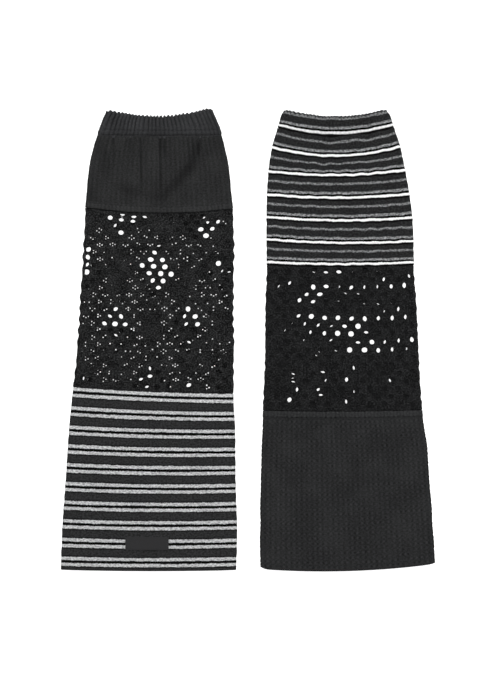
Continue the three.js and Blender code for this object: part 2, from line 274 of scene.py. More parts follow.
RIBBED_WEAVE = Weave(0.7, 0.1, 0.2)
DOTTED_WEAVE = Weave(0.36, 0.08, 0.56)

# Where the floor shows through each lace panel
LEFT_SPOTS = (
    SeenThrough(-129.1, 129.3, 2.0, 90), SeenThrough(-117.4, 127.3, 1.8, 90), SeenThrough(-106.2, 126.6, 3.7, 75),
    SeenThrough(-141.8, 125.8, 0.6, 60), SeenThrough(-130.3, 123.7, 1.6, 90), SeenThrough(-45.6, 125.9, 3.5, 120),
    SeenThrough(-118.4, 121.6, 1.6, 90), SeenThrough(-41.2, 120.9, 2.5, 95), SeenThrough(-30.5, 121.7, 2.5, 135),
    SeenThrough(-136.7, 117.8, 3.4, 140), SeenThrough(-36.5, 114.4, 1.6, 135), SeenThrough(-130.7, 110.5, 1.0, 70),
    SeenThrough(-48.3, 113.8, 1.6, 110), SeenThrough(-43.0, 107.3, 0.7, 95), SeenThrough(-91.6, 96.9, 3.9, 105),
    SeenThrough(-164.2, 93.2, 1.4, 140), SeenThrough(-96.0, 89.8, 1.8, 45), SeenThrough(-164.9, 85.2, 1.4, 25),
    SeenThrough(-100.0, 82.7, 1.0, 65), SeenThrough(-87.9, 82.2, 0.6, 70), SeenThrough(-30.2, 78.7, 0.8, 170),
    SeenThrough(-165.4, 77.6, 2.8, 150), SeenThrough(-108.9, 76.6, 0.7, 45), SeenThrough(-97.1, 75.7, 0.0, 0),
    SeenThrough(-85.4, 75.1, 0.7, 100), SeenThrough(-26.7, 70.8, 3.9, 150), SeenThrough(-166.0, 69.9, 0.0, 0),
    SeenThrough(-101.6, 68.6, 0.8, 70), SeenThrough(-89.7, 68.2, 0.0, 0), SeenThrough(-79.0, 67.6, 0.0, 0),
    SeenThrough(-19.2, 69.8, 3.6, 100), SeenThrough(-98.0, 61.1, 1.9, 145), SeenThrough(-87.3, 60.6, 0.0, 0),
    SeenThrough(-92.1, 53.7, 1.6, 100), SeenThrough(-136.2, 31.6, 1.9, 140), SeenThrough(-61.6, 31.7, 0.7, 175),
    SeenThrough(-142.1, 24.3, 2.5, 45), SeenThrough(-130.7, 24.0, 2.4, 20), SeenThrough(-65.1, 24.2, 2.4, 150),
    SeenThrough(-54.2, 23.9, 0.8, 130), SeenThrough(-147.8, 16.8, 2.0, 60), SeenThrough(-136.9, 16.3, 0.7, 85),
    SeenThrough(-126.3, 15.8, 1.4, 95), SeenThrough(-63.5, 16.2, 3.2, 145), SeenThrough(-51.8, 16.0, 1.0, 135),
    SeenThrough(-136.0, 4.7, 3.7, 50), SeenThrough(-60.5, -2.6, 3.6, 50), SeenThrough(-100.9, -29.6, 3.2, 10),
    SeenThrough(-100.8, -37.6, 1.9, 105), SeenThrough(-169.3, -39.9, 3.7, 165), SeenThrough(-110.1, -40.7, 3.1, 120),
    SeenThrough(-104.0, -48.6, 3.6, 105), SeenThrough(-60.8, -46.8, 2.2, 125),
)
RIGHT_SPOTS = (
    SeenThrough(68.1, 69.6, 4.4, 65), SeenThrough(80.6, 69.5, 2.4, 85), SeenThrough(94.0, 69.9, 2.2, 85),
    SeenThrough(140.3, 62.3, 3.7, 165), SeenThrough(166.3, 65.7, 4.1, 15), SeenThrough(43.2, 58.5, 3.0, 145),
    SeenThrough(32.0, 55.1, 4.2, 140), SeenThrough(67.6, 54.3, 1.0, 5), SeenThrough(80.9, 55.0, 2.5, 80),
    SeenThrough(94.6, 54.6, 4.5, 165), SeenThrough(120.3, 54.2, 3.5, 165), SeenThrough(133.7, 54.7, 3.4, 170),
    SeenThrough(147.9, 55.0, 2.5, 180), SeenThrough(161.4, 56.1, 1.5, 175), SeenThrough(106.7, 53.7, 2.6, 140),
    SeenThrough(60.8, 46.7, 2.2, 125), SeenThrough(74.4, 46.8, 1.4, 120), SeenThrough(53.4, 40.8, 1.5, 150),
    SeenThrough(67.4, 39.3, 2.2, 120), SeenThrough(120.1, 37.0, 4.5, 65), SeenThrough(155.3, 31.7, 3.4, 170),
    SeenThrough(140.8, 29.3, 4.6, 165), SeenThrough(52.5, 24.6, 3.0, 120), SeenThrough(65.6, 24.1, 0.8, 105),
    SeenThrough(79.4, 22.6, 1.5, 75), SeenThrough(93.1, 22.6, 0.8, 150), SeenThrough(134.8, 22.2, 3.1, 175),
    SeenThrough(149.0, 22.4, 3.0, 175), SeenThrough(162.6, 23.5, 2.9, 170), SeenThrough(107.2, 21.8, 1.9, 150),
    SeenThrough(120.7, 21.6, 1.6, 15), SeenThrough(58.8, 16.4, 3.1, 155), SeenThrough(72.7, 15.0, 3.7, 140),
    SeenThrough(86.4, 14.1, 3.9, 125), SeenThrough(99.9, 13.9, 1.8, 85), SeenThrough(113.8, 13.9, 0.0, 0),
    SeenThrough(64.7, 7.8, 3.6, 170), SeenThrough(79.1, 6.6, 2.4, 170), SeenThrough(92.7, 6.6, 0.0, 0),
    SeenThrough(106.6, 6.0, 0.0, 0), SeenThrough(122.2, 7.6, 2.9, 80), SeenThrough(155.7, -0.8, 3.1, 175),
    SeenThrough(169.3, 0.2, 2.6, 10), SeenThrough(113.7, -2.9, 2.4, 90), SeenThrough(128.1, -2.4, 1.0, 90),
    SeenThrough(141.3, -2.3, 3.0, 160), SeenThrough(163.9, -9.3, 4.2, 165), SeenThrough(90.9, -11.4, 4.2, 70),
    SeenThrough(105.1, -10.5, 0.0, 0), SeenThrough(120.5, -10.5, 0.0, 0), SeenThrough(134.7, -10.9, 2.4, 0),
    SeenThrough(109.3, -29.0, 4.2, 10), SeenThrough(77.5, -33.2, 3.6, 75), SeenThrough(101.9, -41.1, 2.4, 175),
    SeenThrough(47.0, -43.4, 3.7, 80), SeenThrough(80.3, -42.1, 4.5, 150), SeenThrough(50.8, -51.3, 2.9, 175),
    SeenThrough(72.7, -51.2, 3.2, 160), SeenThrough(109.5, -53.6, 4.6, 5), SeenThrough(75.3, -57.4, 2.6, 90),
    SeenThrough(43.0, -61.9, 1.8, 170), SeenThrough(101.5, -63.8, 3.4, 10), SeenThrough(149.0, -10.0, 3.9, 0),
    SeenThrough(108.1, 69.9, 4.8, 80), SeenThrough(120.6, 69.5, 4.9, 85), SeenThrough(133.3, 70.4, 4.9, 95),
    SeenThrough(100.9, 47.6, 4.7, 60), SeenThrough(113.9, 47.2, 4.8, 60), SeenThrough(93.7, 39.9, 4.9, 90),
    SeenThrough(134.5, 36.8, 4.3, 60), SeenThrough(147.8, 37.5, 4.8, 60), SeenThrough(45.6, 16.8, 4.9, 120),
    SeenThrough(38.4, 9.6, 4.7, 135), SeenThrough(57.7, -0.5, 4.8, 150), SeenThrough(85.8, -0.5, 4.2, 120),
    SeenThrough(70.6, -16.3, 4.7, 60), SeenThrough(46.9, -35.3, 4.5, 60), SeenThrough(146.6, -42.0, 4.1, 20),
)


def smooth_step(value: Points, low: float, high: float) -> Points:
    """A soft step from 0 at low to 1 at high."""
    share = np.clip((value - low) / (high - low), 0, 1)
    return share * share * (3 - 2 * share)


def hump(offset: Points, width: float) -> Points:
    """A round hump, 1 where offset is nothing."""
    return np.exp(-((offset / width) ** 2))


def ripple(x: Points, y: Points, size: float, seed: int) -> Points:
    """Slow uneven waves over the cloth.

    Args:
        x: Place across, in millimetres.
        y: Place along, in millimetres.
        size: The usual distance between two crests.
        seed: Picks the waves, so that each panel has its own.

    Returns:
        Heights from about -1 to 1.
    """
    chance = np.random.default_rng(seed)
    total = np.zeros(np.broadcast(x, y).shape)
    waves = 6
    for _ in range(waves):
        heading = chance.uniform(0, math.tau)
        length = size * chance.uniform(0.7, 1.6)
        start = chance.uniform(0, math.tau)
        total += np.sin((x * math.cos(heading) + y * math.sin(heading)) * math.tau / length + start)
    return total / (waves / 2)


class Outline:
    """The side folds, levels and height of one leg warmer at any course, on a smooth monotone curve."""

    def __init__(self, lines: dict[str, KnitLine]) -> None:
        """Place each named line by its distance along the cloth from the start of the rim."""
        self.lines = lines
        self.courses = self._courses()
        self.places = np.array(list(self.courses.values()))
        self.sizes = np.array([line.numbers() for line in lines.values()])
        self.slopes = self._slopes()

    def _courses(self) -> dict[str, float]:
        """The course of each line: its stripe count where it has one, or else the distance to the last."""
        courses: dict[str, float] = {}
        last: KnitLine | None = None
        course = 0.0
        for name, line in self.lines.items():
            if line.stripe is not None:
                course = line.stripe * STRIPE_REPEAT
            elif last is not None:
                course += last.middle_y - line.middle_y
            courses[name] = course
            last = line
        return courses

    def _slopes(self) -> Points:
        """Slopes that keep the curve from overshooting between two lines."""
        chord = np.diff(self.sizes, axis=0) / np.diff(self.places)[:, None]
        product = chord[:-1] * chord[1:]
        total = chord[:-1] + chord[1:]
        inner = np.where(product > 0, 2 * product / np.where(total == 0, 1, total), 0)
        return np.vstack([chord[:1], inner, chord[-1:]])

    def at(self, course: Points) -> Points:
        """The six sizes at each course.

        Args:
            course: Distances along the cloth.

        Returns:
            One row for each course: left, right, left_y, right_y, sag and height.
        """
        inside = np.clip(course, self.places[0], self.places[-1])
        row = np.clip(np.searchsorted(self.places, inside) - 1, 0, len(self.places) - 2)
        span = (self.places[row + 1] - self.places[row])[:, None]
        share = (inside[:, None] - self.places[row][:, None]) / span
        start, end = self.sizes[row], self.sizes[row + 1]
        leave, reach = self.slopes[row] * span, self.slopes[row + 1] * span
        square, cube = share**2, share**3
        return (
            (2 * cube - 3 * square + 1) * start
            + (cube - 2 * square + share) * leave
            + (3 * square - 2 * cube) * end
            + (cube - square) * reach
        )

    def widest(self, names: Sequence[str]) -> float:
        """The largest laid width among some lines."""
        return max(self.lines[name].right - self.lines[name].left for name in names)


@dataclass
class RowPlan:
    """The rows of a tube from its lower end to its upper one, with a number for each row.

    course is the place along the cloth, inset how far inside the outer surface the row lies, beyond how far
    it is moved up the leg, and rise what it adds to the height of the laid cloth.
    """

    course: list[float] = field(default_factory=list)
    inset: list[float] = field(default_factory=list)
    beyond: list[float] = field(default_factory=list)
    rise: list[float] = field(default_factory=list)

    def add(self, course: float, inset: float = 0.0, beyond: float = 0.0, rise: float = 0.0) -> None:
        """Add one row."""
        self.course.append(course)
        self.inset.append(inset)
        self.beyond.append(beyond)
        self.rise.append(rise)


@dataclass(frozen=True)
class ColumnPlan:
    """The columns round a tube, counted in wales: 0 is the left fold's front edge and wales its right one."""

    wales: int
    fold_wales: int
    front_phases: tuple[float, ...]
    back_phases: tuple[float, ...]

    def places(self) -> Points:
        """All columns from the middle of the back, over the left fold and the front, to the back again."""
        half_back = self.wales // 2
        front = [wale + phase for wale in range(self.wales) for phase in self.front_phases]
        fold_count = 4 * self.fold_wales
        fold = [self.fold_wales * k / fold_count for k in range(fold_count)]
        left_back = [
            wale + phase - self.fold_wales - half_back
            for wale in range(half_back)
            for phase in self.back_phases
        ]
        left_fold = [place - self.fold_wales for place in fold]
        right_fold = [self.wales + place for place in fold]
        right_back = [
            self.wales + self.fold_wales + wale + phase
            for wale in range(half_back)
            for phase in self.back_phases
        ]
        last = self.wales + self.fold_wales + half_back
        return np.array([*left_back, *left_fold, *front, *right_fold, *right_back, last], dtype=float)

    def split(self, place: Points) -> tuple[Points, Points, Points]:
        """Where each column stands.

        Args:
            place: Columns in wales.

        Returns:
            The share across the face from the left fold, the side (-1 or 1) and the angle round the fold,
            which is a right angle on the front and minus a right angle on the back.
        """
        count, fold = self.wales, self.fold_wales
        where = [place < -fold, place < 0, place <= count, place <= count + fold]
        share = np.select(where, [(-place - fold) / count, place * 0, place / count, place * 0 + 1],
                          1 - (place - count - fold) / count)
        quarter = math.pi / 2
        angle = np.select(
            where,
            [
                place * 0 - quarter,
                quarter + place / fold * math.pi,
                place * 0 + quarter,
                quarter - (place - count) / fold * math.pi,
            ],
            -quarter,
        )
        return share, np.where(place < count / 2, -1.0, 1.0), angle


def new_grid(name: str, columns: int, rows: int) -> bpy.types.Object:
    """Add a flat grid of columns by rows faces, alone in the selection.

    Args:
        name: The new object's name.
        columns: Faces across.
        rows: Faces up.

    Returns:
        The grid object, at the origin.
    """
    bpy.ops.object.select_all(action="DESELECT")
    bpy.ops.mesh.primitive_grid_add(x_subdivisions=columns, y_subdivisions=rows, size=1, calc_uvs=True)
    piece = bpy.context.object
    piece.name = name
    piece.data.name = name
    if len(piece.data.vertices) != (columns + 1) * (rows + 1):
        raise ValueError(f"{name}: the grid has another number of points")
    return piece


def edit_mesh(piece: bpy.types.Object, work: Callable[[], object]) -> None:
    """Run an edit mode operator on what is selected in a piece."""
    bpy.context.view_layer.objects.active = piece
    piece.select_set(True)
    bpy.ops.object.mode_set(mode="EDIT")
    work()
    bpy.ops.object.mode_set(mode="OBJECT")


def select_faces(piece: bpy.types.Object, chosen: Points) -> None:
    """Select some faces of a piece and nothing else."""
    mesh = piece.data
    bpy.context.tool_settings.mesh_select_mode = (False, False, True)
    mesh.vertices.foreach_set("select", np.zeros(len(mesh.vertices), dtype=bool))
    mesh.edges.foreach_set("select", np.zeros(len(mesh.edges), dtype=bool))
    mesh.polygons.foreach_set("select", chosen)


def merge_doubles(piece: bpy.types.Object, distance: float) -> None:
    """Close a tube where its first and last column meet."""
    bpy.context.tool_settings.mesh_select_mode = (True, False, False)

    def weld() -> None:
        """Merge all points that lie on each other."""
        bpy.ops.mesh.select_all(action="SELECT")
        bpy.ops.mesh.remove_doubles(threshold=distance)

    edit_mesh(piece, weld)


def thicken(piece: bpy.types.Object, thickness: float) -> None:
    """Give a sheet its wall on the inside, and smooth its faces."""
    wall = piece.modifiers.new("wall", "SOLIDIFY")
    wall.thickness = thickness * MILLIMETRE
    wall.offset = -1
    wall.use_even_offset = False
    bpy.context.view_layer.objects.active = piece
    bpy.ops.object.modifier_apply(modifier=wall.name)
    bpy.ops.object.shade_smooth_by_angle(angle=math.radians(50))


def write_uv(piece: bpy.types.Object, coordinates: Points) -> None:
    """Give a grid its own pattern coordinates, one pair for each point, in metres of cloth."""
    mesh = piece.data
    layer = mesh.uv_layers[0]
    layer.name = CLOTH_UV
    corners = np.empty(len(mesh.loops), dtype=np.int32)
    mesh.loops.foreach_get("vertex_index", corners)
    layer.uv.foreach_set("vector", coordinates[corners].astype(np.float32).ravel())


@dataclass
class TubePanel:
    """One flattened tube of cloth between two lines of a leg warmer."""

    name: str
    nodes: tuple[str, ...]
    slot: str
    outline: Outline
    first: str
    last: str
    columns: ColumnPlan
    wale: float
    row_pitch: float
    finish: "Finish"
    wall: float = 0.7
    upper_edge: Edge = Edge.SEAM
    lower_edge: Edge = Edge.TUCKED
    creases: tuple[Crease, ...] = ()
    puckers: tuple[Pucker, ...] = ()
    band_above: bool = False
    band_below: bool = False
    cut_round: float | None = None
    fixed_height: float | None = None
    under_height: float | None = None
    unevenness: float = 0.25
    side_wave: float = 0.18
    drift: float = 0.22
    hem_corners: tuple[float, float] = (0.0, 0.0)
    seed: int = 1
    hollow_shade: Points = field(default_factory=lambda: np.zeros(0))
    far_layer: Points = field(default_factory=lambda: np.zeros(0))

    def start(self) -> float:
        """The course of the upper end."""
        return self.outline.courses[self.first]

    def end(self) -> float:
        """The course of the lower end."""
        return self.outline.courses[self.last]

    def inner_courses(self) -> list[float]:
        """The courses of the rows between the two ends, from the upper end down."""
        count = round((self.end() - self.start()) / self.row_pitch)
        return [float(c) for c in np.linspace(self.start(), self.end(), count + 1)[1:-1]]

    def seam_rows(self, plan: RowPlan, seam: float, toward: float) -> None:
        """Rows that dip into a seam. toward is 1 at the lower end and -1 at the upper one."""
        half_gap = SEAM_GAP / 2
        steps = [(GROOVE_WIDTH, 0.12), (0.5 * GROOVE_WIDTH, 0.3), (half_gap + 0.12, GROOVE_DEPTH)]
        ordered = steps if toward < 0 else steps[::-1]
        for away, depth in ordered:
            plan.add(seam - toward * away, 0.0, 0.0, -depth)

    def tuck_rows(self, plan: RowPlan, seam: float) -> None:
        """Rows of seam allowance that lie under the next panel."""
        line = self.outline.at(np.array([seam]))[0]
        own = self.fixed_height or float(line[5])
        drop = (self.under_height or own) - own
        for length in (TUCK_LENGTH, 0.5 * TUCK_LENGTH, SEAM_GAP / 2):
            plan.add(seam, TUCK_DEPTH, -length, drop)
        plan.add(seam - SEAM_GAP / 2, 0.6 * TUCK_DEPTH, 0.0, 0.5 * drop)

    def turned_hem_rows(self, plan: RowPlan) -> None:
        """Rows of a hem turned to the inside, from its inner edge round to the outside."""
        depth, width, reach = 1.6, 9.0, 0.8
        for share in (1.0, 0.66, 0.33, 0.12):
            plan.add(self.end() - share * width, depth)
        for degrees in (-75, -45, -15, 15, 45, 75):
            angle = math.radians(degrees)
            plan.add(self.end(), depth / 2 * (1 - math.sin(angle)), reach * (1 - math.cos(angle)) )

    def turned_rim_rows(self, plan: RowPlan) -> None:
        """Rows of a casing's top, over the rim and down its inside."""
        lip = self.outline.courses["lip"]
        for degrees in (70, 45, 20, -5, -30, -55, -80):
            angle = math.radians(degrees)
            plan.add(lip, CASING_LAYERS / 2 * (1 - math.sin(angle)), RIM_REACH * math.cos(angle))
        for share in (0.1, 0.35, 0.65, 0.93):
            plan.add(lip + share * (self.end() - lip), CASING_LAYERS)

    def rows(self) -> RowPlan:
        """All rows from the lower end to the upper one."""
        plan = RowPlan()
        clear = 1.35 * GROOVE_WIDTH
        low, high = self.end() - clear, self.start() + clear
        if self.lower_edge is Edge.TURNED:
            self.turned_hem_rows(plan)
            low = self.end() - 0.4
        else:
            if self.lower_edge is Edge.TUCKED:
                self.tuck_rows(plan, self.end())
            self.seam_rows(plan, self.end(), 1.0)
        if self.upper_edge is Edge.TURNED:
            high = self.outline.courses["lip"] + 0.3
        for course in reversed(self.inner_courses()):
            if high < course < low:
                plan.add(course)
        if self.upper_edge is Edge.TURNED:
            self.turned_rim_rows(plan)
        else:
            self.seam_rows(plan, self.start(), -1.0)
        return plan

    def relief(self, wale: Points, course: Points, x: Points, y: Points) -> Points:
        """How far the cloth stands out from its plain form. Panels with a raised knit add to this."""
        return np.zeros(np.broadcast(wale, course).shape)

    def front_relief(self, x: Points, y: Points, course: Points) -> Points:
        """Creases and seam bands, which show on the front only."""
        total = np.zeros(x.shape)
        for crease in self.creases:
            total += crease.height(x, y)
        if self.band_below:
            total += BAND_RISE * smooth_step(course, self.end() - BAND_WIDTH - 1, self.end() - BAND_WIDTH)
        if self.band_above:
            below = self.start() + BAND_WIDTH
            total += BAND_RISE * (1 - smooth_step(course, below, below + 1))
        return total

    def shape(self, plan: RowPlan, place: Points) -> Points:
        """The points of the tube.

        Args:
            plan: The rows.
            place: The columns, in wales.

        Returns:
            An array of rows by columns by three, in millimetres.
        """
        course = np.array(plan.course)[:, None]
        inset = np.array(plan.inset)[:, None]
        beyond = np.array(plan.beyond)[:, None]
        rise = np.array(plan.rise)[:, None]
        left, right, left_y, right_y, sag, height = (s[:, None] for s in self.outline.at(course[:, 0]).T)
        if self.fixed_height is not None:
            height = np.full_like(height, self.fixed_height)
        share, side, angle = (v[None, :] for v in self.columns.split(place))
        begin = left + inset + FOLD_REACH
        finish = right - inset - FOLD_REACH
        x = begin + share * (finish - begin) + side * FOLD_REACH * np.cos(angle)
        across = np.clip((2 * x - left - right) / (right - left), -1, 1)
        y = left_y + (right_y - left_y) * (across + 1) / 2 - sag * (1 - across**2) + beyond
        to_fold = np.minimum(share, 1 - share) * (finish - begin)
        crown = height * FOLD_DROP * hump(to_fold, FOLD_SOFTNESS)
        upness = (1 + np.sin(angle)) / 2
        top = height - crown + rise * upness
        z = inset + (top - 2 * inset) * upness
        outward = self.relief(place[None, :], course, x, y) * (inset < 0.2)
        front = upness**2 * (inset < 0.2)
        outward = outward + front * self.front_relief(x, y, np.broadcast_to(course, x.shape))
        outward = outward + front * self.unevenness * ripple(x, y, 34.0, self.seed)
        for pucker in self.puckers:
            draw = hump(x - pucker.x, pucker.width) * hump(y - pucker.y, pucker.height)
            y = y + front * pucker.shift * draw
        y = y + front * self.drift * ripple(x, y, 13.0, self.seed + 50)
        near_hem = hump(course - self.end(), 5.0)
        left_corner, right_corner = self.hem_corners
        y = y + near_hem * (left_corner * hump(x - left, 4.0) + right_corner * hump(right - x, 4.0))
        x = x + side * np.cos(angle) * (outward + self.side_wave * ripple(x * 0, y, 8.0, self.seed + 90))
        z = np.maximum(z + np.sin(angle) * outward, 0.0)
        # How sunken each point is; the materials darken the colour by it as painted shade.
        self.hollow_shade = np.clip(-outward / HOLLOW_DEPTH, 0, 1)
        # The back layer; the net's material colours it lighter as painted light, since little light reaches it
        # through the front's holes.
        self.far_layer = np.broadcast_to(1 - upness, x.shape)
        return np.stack(np.broadcast_arrays(x, y, z), axis=-1)

    def openings(self) -> tuple[list[Opening], list[Opening]]:
        """The large holes of the front and of the back. Only lace has any."""
        return [], []

    def pinholes(self) -> tuple[Points, Points]:
        """The small holes of the front and of the back, as x and y. Only lace has any."""
        return np.empty((0, 2)), np.empty((0, 2))

    def cut(self, piece: bpy.types.Object, points: Points) -> None:
        """Cut a panel's holes, if it has any."""

    def build(self) -> bpy.types.Object:
        """Make, cut, close and thicken the tube, and dress it.

        Returns:
            The finished piece.
        """
        plan = self.rows()
        place = self.columns.places()
        points = self.shape(plan, place)
        piece = new_grid(self.name, len(place) - 1, len(plan.course) - 1)
        around = place * self.wale * MILLIMETRE
        along = np.array(plan.course) * MILLIMETRE
        pattern = np.stack(np.meshgrid(around, along), axis=-1).reshape(-1, 2)
        write_uv(piece, pattern)
        for attribute, values in ((HOLLOW_SHADE, self.hollow_shade), (FAR_LAYER, self.far_layer)):
            layer = piece.data.attributes.new(attribute, "FLOAT", "POINT")
            layer.data.foreach_set("value", values.astype(np.float32).ravel())
        self.cut(piece, points.reshape(-1, 3))
        merge_doubles(piece, 2e-5)
        thicken(piece, self.wall)
        self.finish.dress(piece)
        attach(piece, BODY)
        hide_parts(*self.nodes)
        self.declare()
        return piece

    def place_points(self, piece: bpy.types.Object, points: Points) -> None:
        """Move the grid's points to the tube's."""
        piece.data.vertices.foreach_set("co", (points * MILLIMETRE).astype(np.float32).ravel())
        piece.data.update()

    def flat_size(self) -> tuple[float, float]:
        """The cut of the whole tube: all round, with its seam allowance, and from end to end."""
        around = self.cut_round or 2 * self.outline.widest([self.first, self.last])
        length = self.end() - self.start()
        extra = {Edge.SEAM: 0.0, Edge.TUCKED: TUCK_LENGTH, Edge.TURNED: 9.0}
        length += extra[self.lower_edge] + extra[self.upper_edge]
        return (around + SEAM_ALLOWANCE) * MILLIMETRE, length * MILLIMETRE

    def declare(self) -> None:
        """Work out the cloth's cut size, which is not kept or used."""
        self.flat_size()


class PlainPanel(TubePanel):
    """A tube of smooth cloth."""

    def cut(self, piece: bpy.types.Object, points: Points) -> None:
        """Plain cloth has no holes, so its points are only placed."""
        self.place_points(piece, points)


@dataclass
class StripedPanel(PlainPanel):
    """A tube of soft cloth whose white lines are thicker yarn and stand out a little."""

    ridge_repeat: float = STRIPE_REPEAT
    gather_depth: float = 0.35

    def relief(self, wale: Points, course: Points, x: Points, y: Points) -> Points:
        """The raised white lines, and gathers that fade out below the casing."""
        offset = (course / self.ridge_repeat + 0.5) % 1.0 - 0.5
        raised = 0.45 * hump(offset * self.ridge_repeat, 1.7)
        grey = (course / self.ridge_repeat + 0.18 + 0.5) % 1.0 - 0.5
        raised = raised + 0.2 * hump(grey * self.ridge_repeat, 1.4)
        fade = 1 - smooth_step(course, self.start(), self.start() + 20)
        return raised + gather_relief(wale, self.columns, self.gather_depth, self.seed) * fade


def gather_relief(
    wale: Points, columns: ColumnPlan, depth: float, seed: int, roundness: float = 0.7
) -> Points:
    """Rounded gathers with narrow valleys, of uneven width and depth.

    Args:
        wale: Columns, in wales.
        columns: The panel's columns, which give how many wales a face has.
        depth: How deep the valleys are.
        seed: Picks the unevenness.
        roundness: Small for broad ridges and narrow valleys, large for broad valleys.

    Returns:
        Heights from minus depth, in a valley, to nothing, on a ridge.
    """
    chance = np.random.default_rng(seed)
    around = 2 * (columns.wales + columns.fold_wales)
    turn = (wale + columns.wales) / around
    count = 2 * GATHERS + 4
    phase = turn * count
    for order in (3, 5, 9, 14):
        phase = phase + 0.7 / order * np.sin(math.tau * order * turn + chance.uniform(0, math.tau))
    number = np.floor(phase).astype(int) % count
    uneven = chance.uniform(0.55, 1.15, count)[number]
    crest = np.abs(np.sin(math.pi * phase)) ** roundness
    return -depth * uneven * (1 - crest)


@dataclass
class WafflePanel(PlainPanel):
    """A tube of waffle knit: a raised grid round sunken cells."""

    cell: float = 5.0
    depth: float = 0.42
    gather_depth: float = 0.0
    weave: Weave = RIBBED_WEAVE

    def inner_courses(self) -> list[float]:
        """Rows on the ridges, on their sides and in the middle of the cells."""
        first = math.floor(self.start() / self.cell)
        last = math.ceil(self.end() / self.cell)
        phases = (0.0, 0.2, 0.5, 0.8)
        return [(k + phase) * self.cell for k in range(first, last + 1) for phase in phases]

    def waffle(self, wale: Points, course: Points) -> Points:
        """The sunken cells between the ridges."""
        upright = np.cos(math.tau * wale)
        level = np.cos(math.tau * course / self.cell)
        weave = self.weave
        height = weave.upright * upright + weave.level * level + weave.crossing * upright * level
        return self.depth * (height - 1) / 2

    def relief(self, wale: Points, course: Points, x: Points, y: Points) -> Points:
        """Cells over the whole panel, and gathers that fade out below the casing."""
        chance = 1 + 0.45 * ripple(x, y, 7.0, self.seed + 7)
        total = self.waffle(wale, course) * chance
        if self.gather_depth:
            fade = 1 - smooth_step(course, self.start(), self.start() + 38)
            total = total + gather_relief(wale, self.columns, self.gather_depth, self.seed) * fade
        if self.band_above:
            ribs = 0.35 * np.abs(np.sin(math.pi * wale * 2)) * (course < self.start() + BAND_WIDTH)
            total = total + ribs
        return total


@dataclass
class GatheredCasing(PlainPanel):
    """The turned top of a leg warmer, drawn up by the elastic inside it."""

    depth: float = 1.1
    stitch_courses: tuple[float, ...] = ()
    scallop: float = 1.0
    corner_drop: float = 1.0
    corner_reach: float = 3.0

    def relief(self, wale: Points, course: Points, x: Points, y: Points) -> Points:
        """Gathers over the elastic, shallower over the plain band below it, with sunken stitch lines."""
        elastic_end = self.end() - 8.0
        strength = 1 - 0.4 * smooth_step(course, elastic_end - 3, elastic_end + 2)
        total = gather_relief(wale, self.columns, self.depth, self.seed) * strength
        for stitched in self.stitch_courses:
            total = total - 0.4 * hump(course - stitched, 0.8)
        return total

    def shape(self, plan: RowPlan, place: Points) -> Points:
        """The tube, with a rim that is lower over each valley."""
        points = super().shape(plan, place)
        valley = gather_relief(place[None, :], self.columns, 1.0, self.seed, 1.6)
        near_rim = hump(np.array(plan.course)[:, None] - self.outline.courses["lip"], 3.0)
        x = points[..., 0]
        to_side = np.minimum(x - x.min(axis=1, keepdims=True), x.max(axis=1, keepdims=True) - x)
        corner = hump(to_side, self.corner_reach)
        slow = ripple(place[None, :] * self.wale, place[None, :] * 0, 30.0, self.seed + 30)
        lowered = self.scallop * valley - self.corner_drop * corner + RIM_WAVE * slow
        points[..., 1] += near_rim * lowered
        return points


def clear_of(hole: Opening, others: list[Opening], distance: float) -> bool:
    """Whether a hole's middle is farther than a distance from those of all others."""
    return all(math.hypot(hole.x - other.x, hole.y - other.y) > distance for other in others)


def settle(opened: Points, away: Points) -> Points:
    """Mend the faces to be cut from a tube, so that no two holes meet at a corner alone and no face is left
    alone between holes.

    Args:
        opened: Whether each face is to be cut out, by row and column. The last column meets the first.
        away: How far each face lies from the middle of its nearest hole, in hole radii.

    Returns:
        The mended faces.
    """
    opened = opened.copy()
    for _ in range(3):
        around = sum(np.roll(opened, step, axis).astype(int) for axis in (0, 1) for step in (-1, 1))
        opened |= around >= 3
        for side in (1, -1):
            other = np.roll(opened, (-1, -side), (0, 1))
            between = np.roll(opened, -1, 0) | np.roll(opened, -side, 1)
            touching = opened & other & ~between
            farther = away > np.roll(away, (-1, -side), (0, 1))
            opened &= ~(touching & farther)
            opened &= ~np.roll(touching & ~farther, (1, side), (0, 1))
    return opened


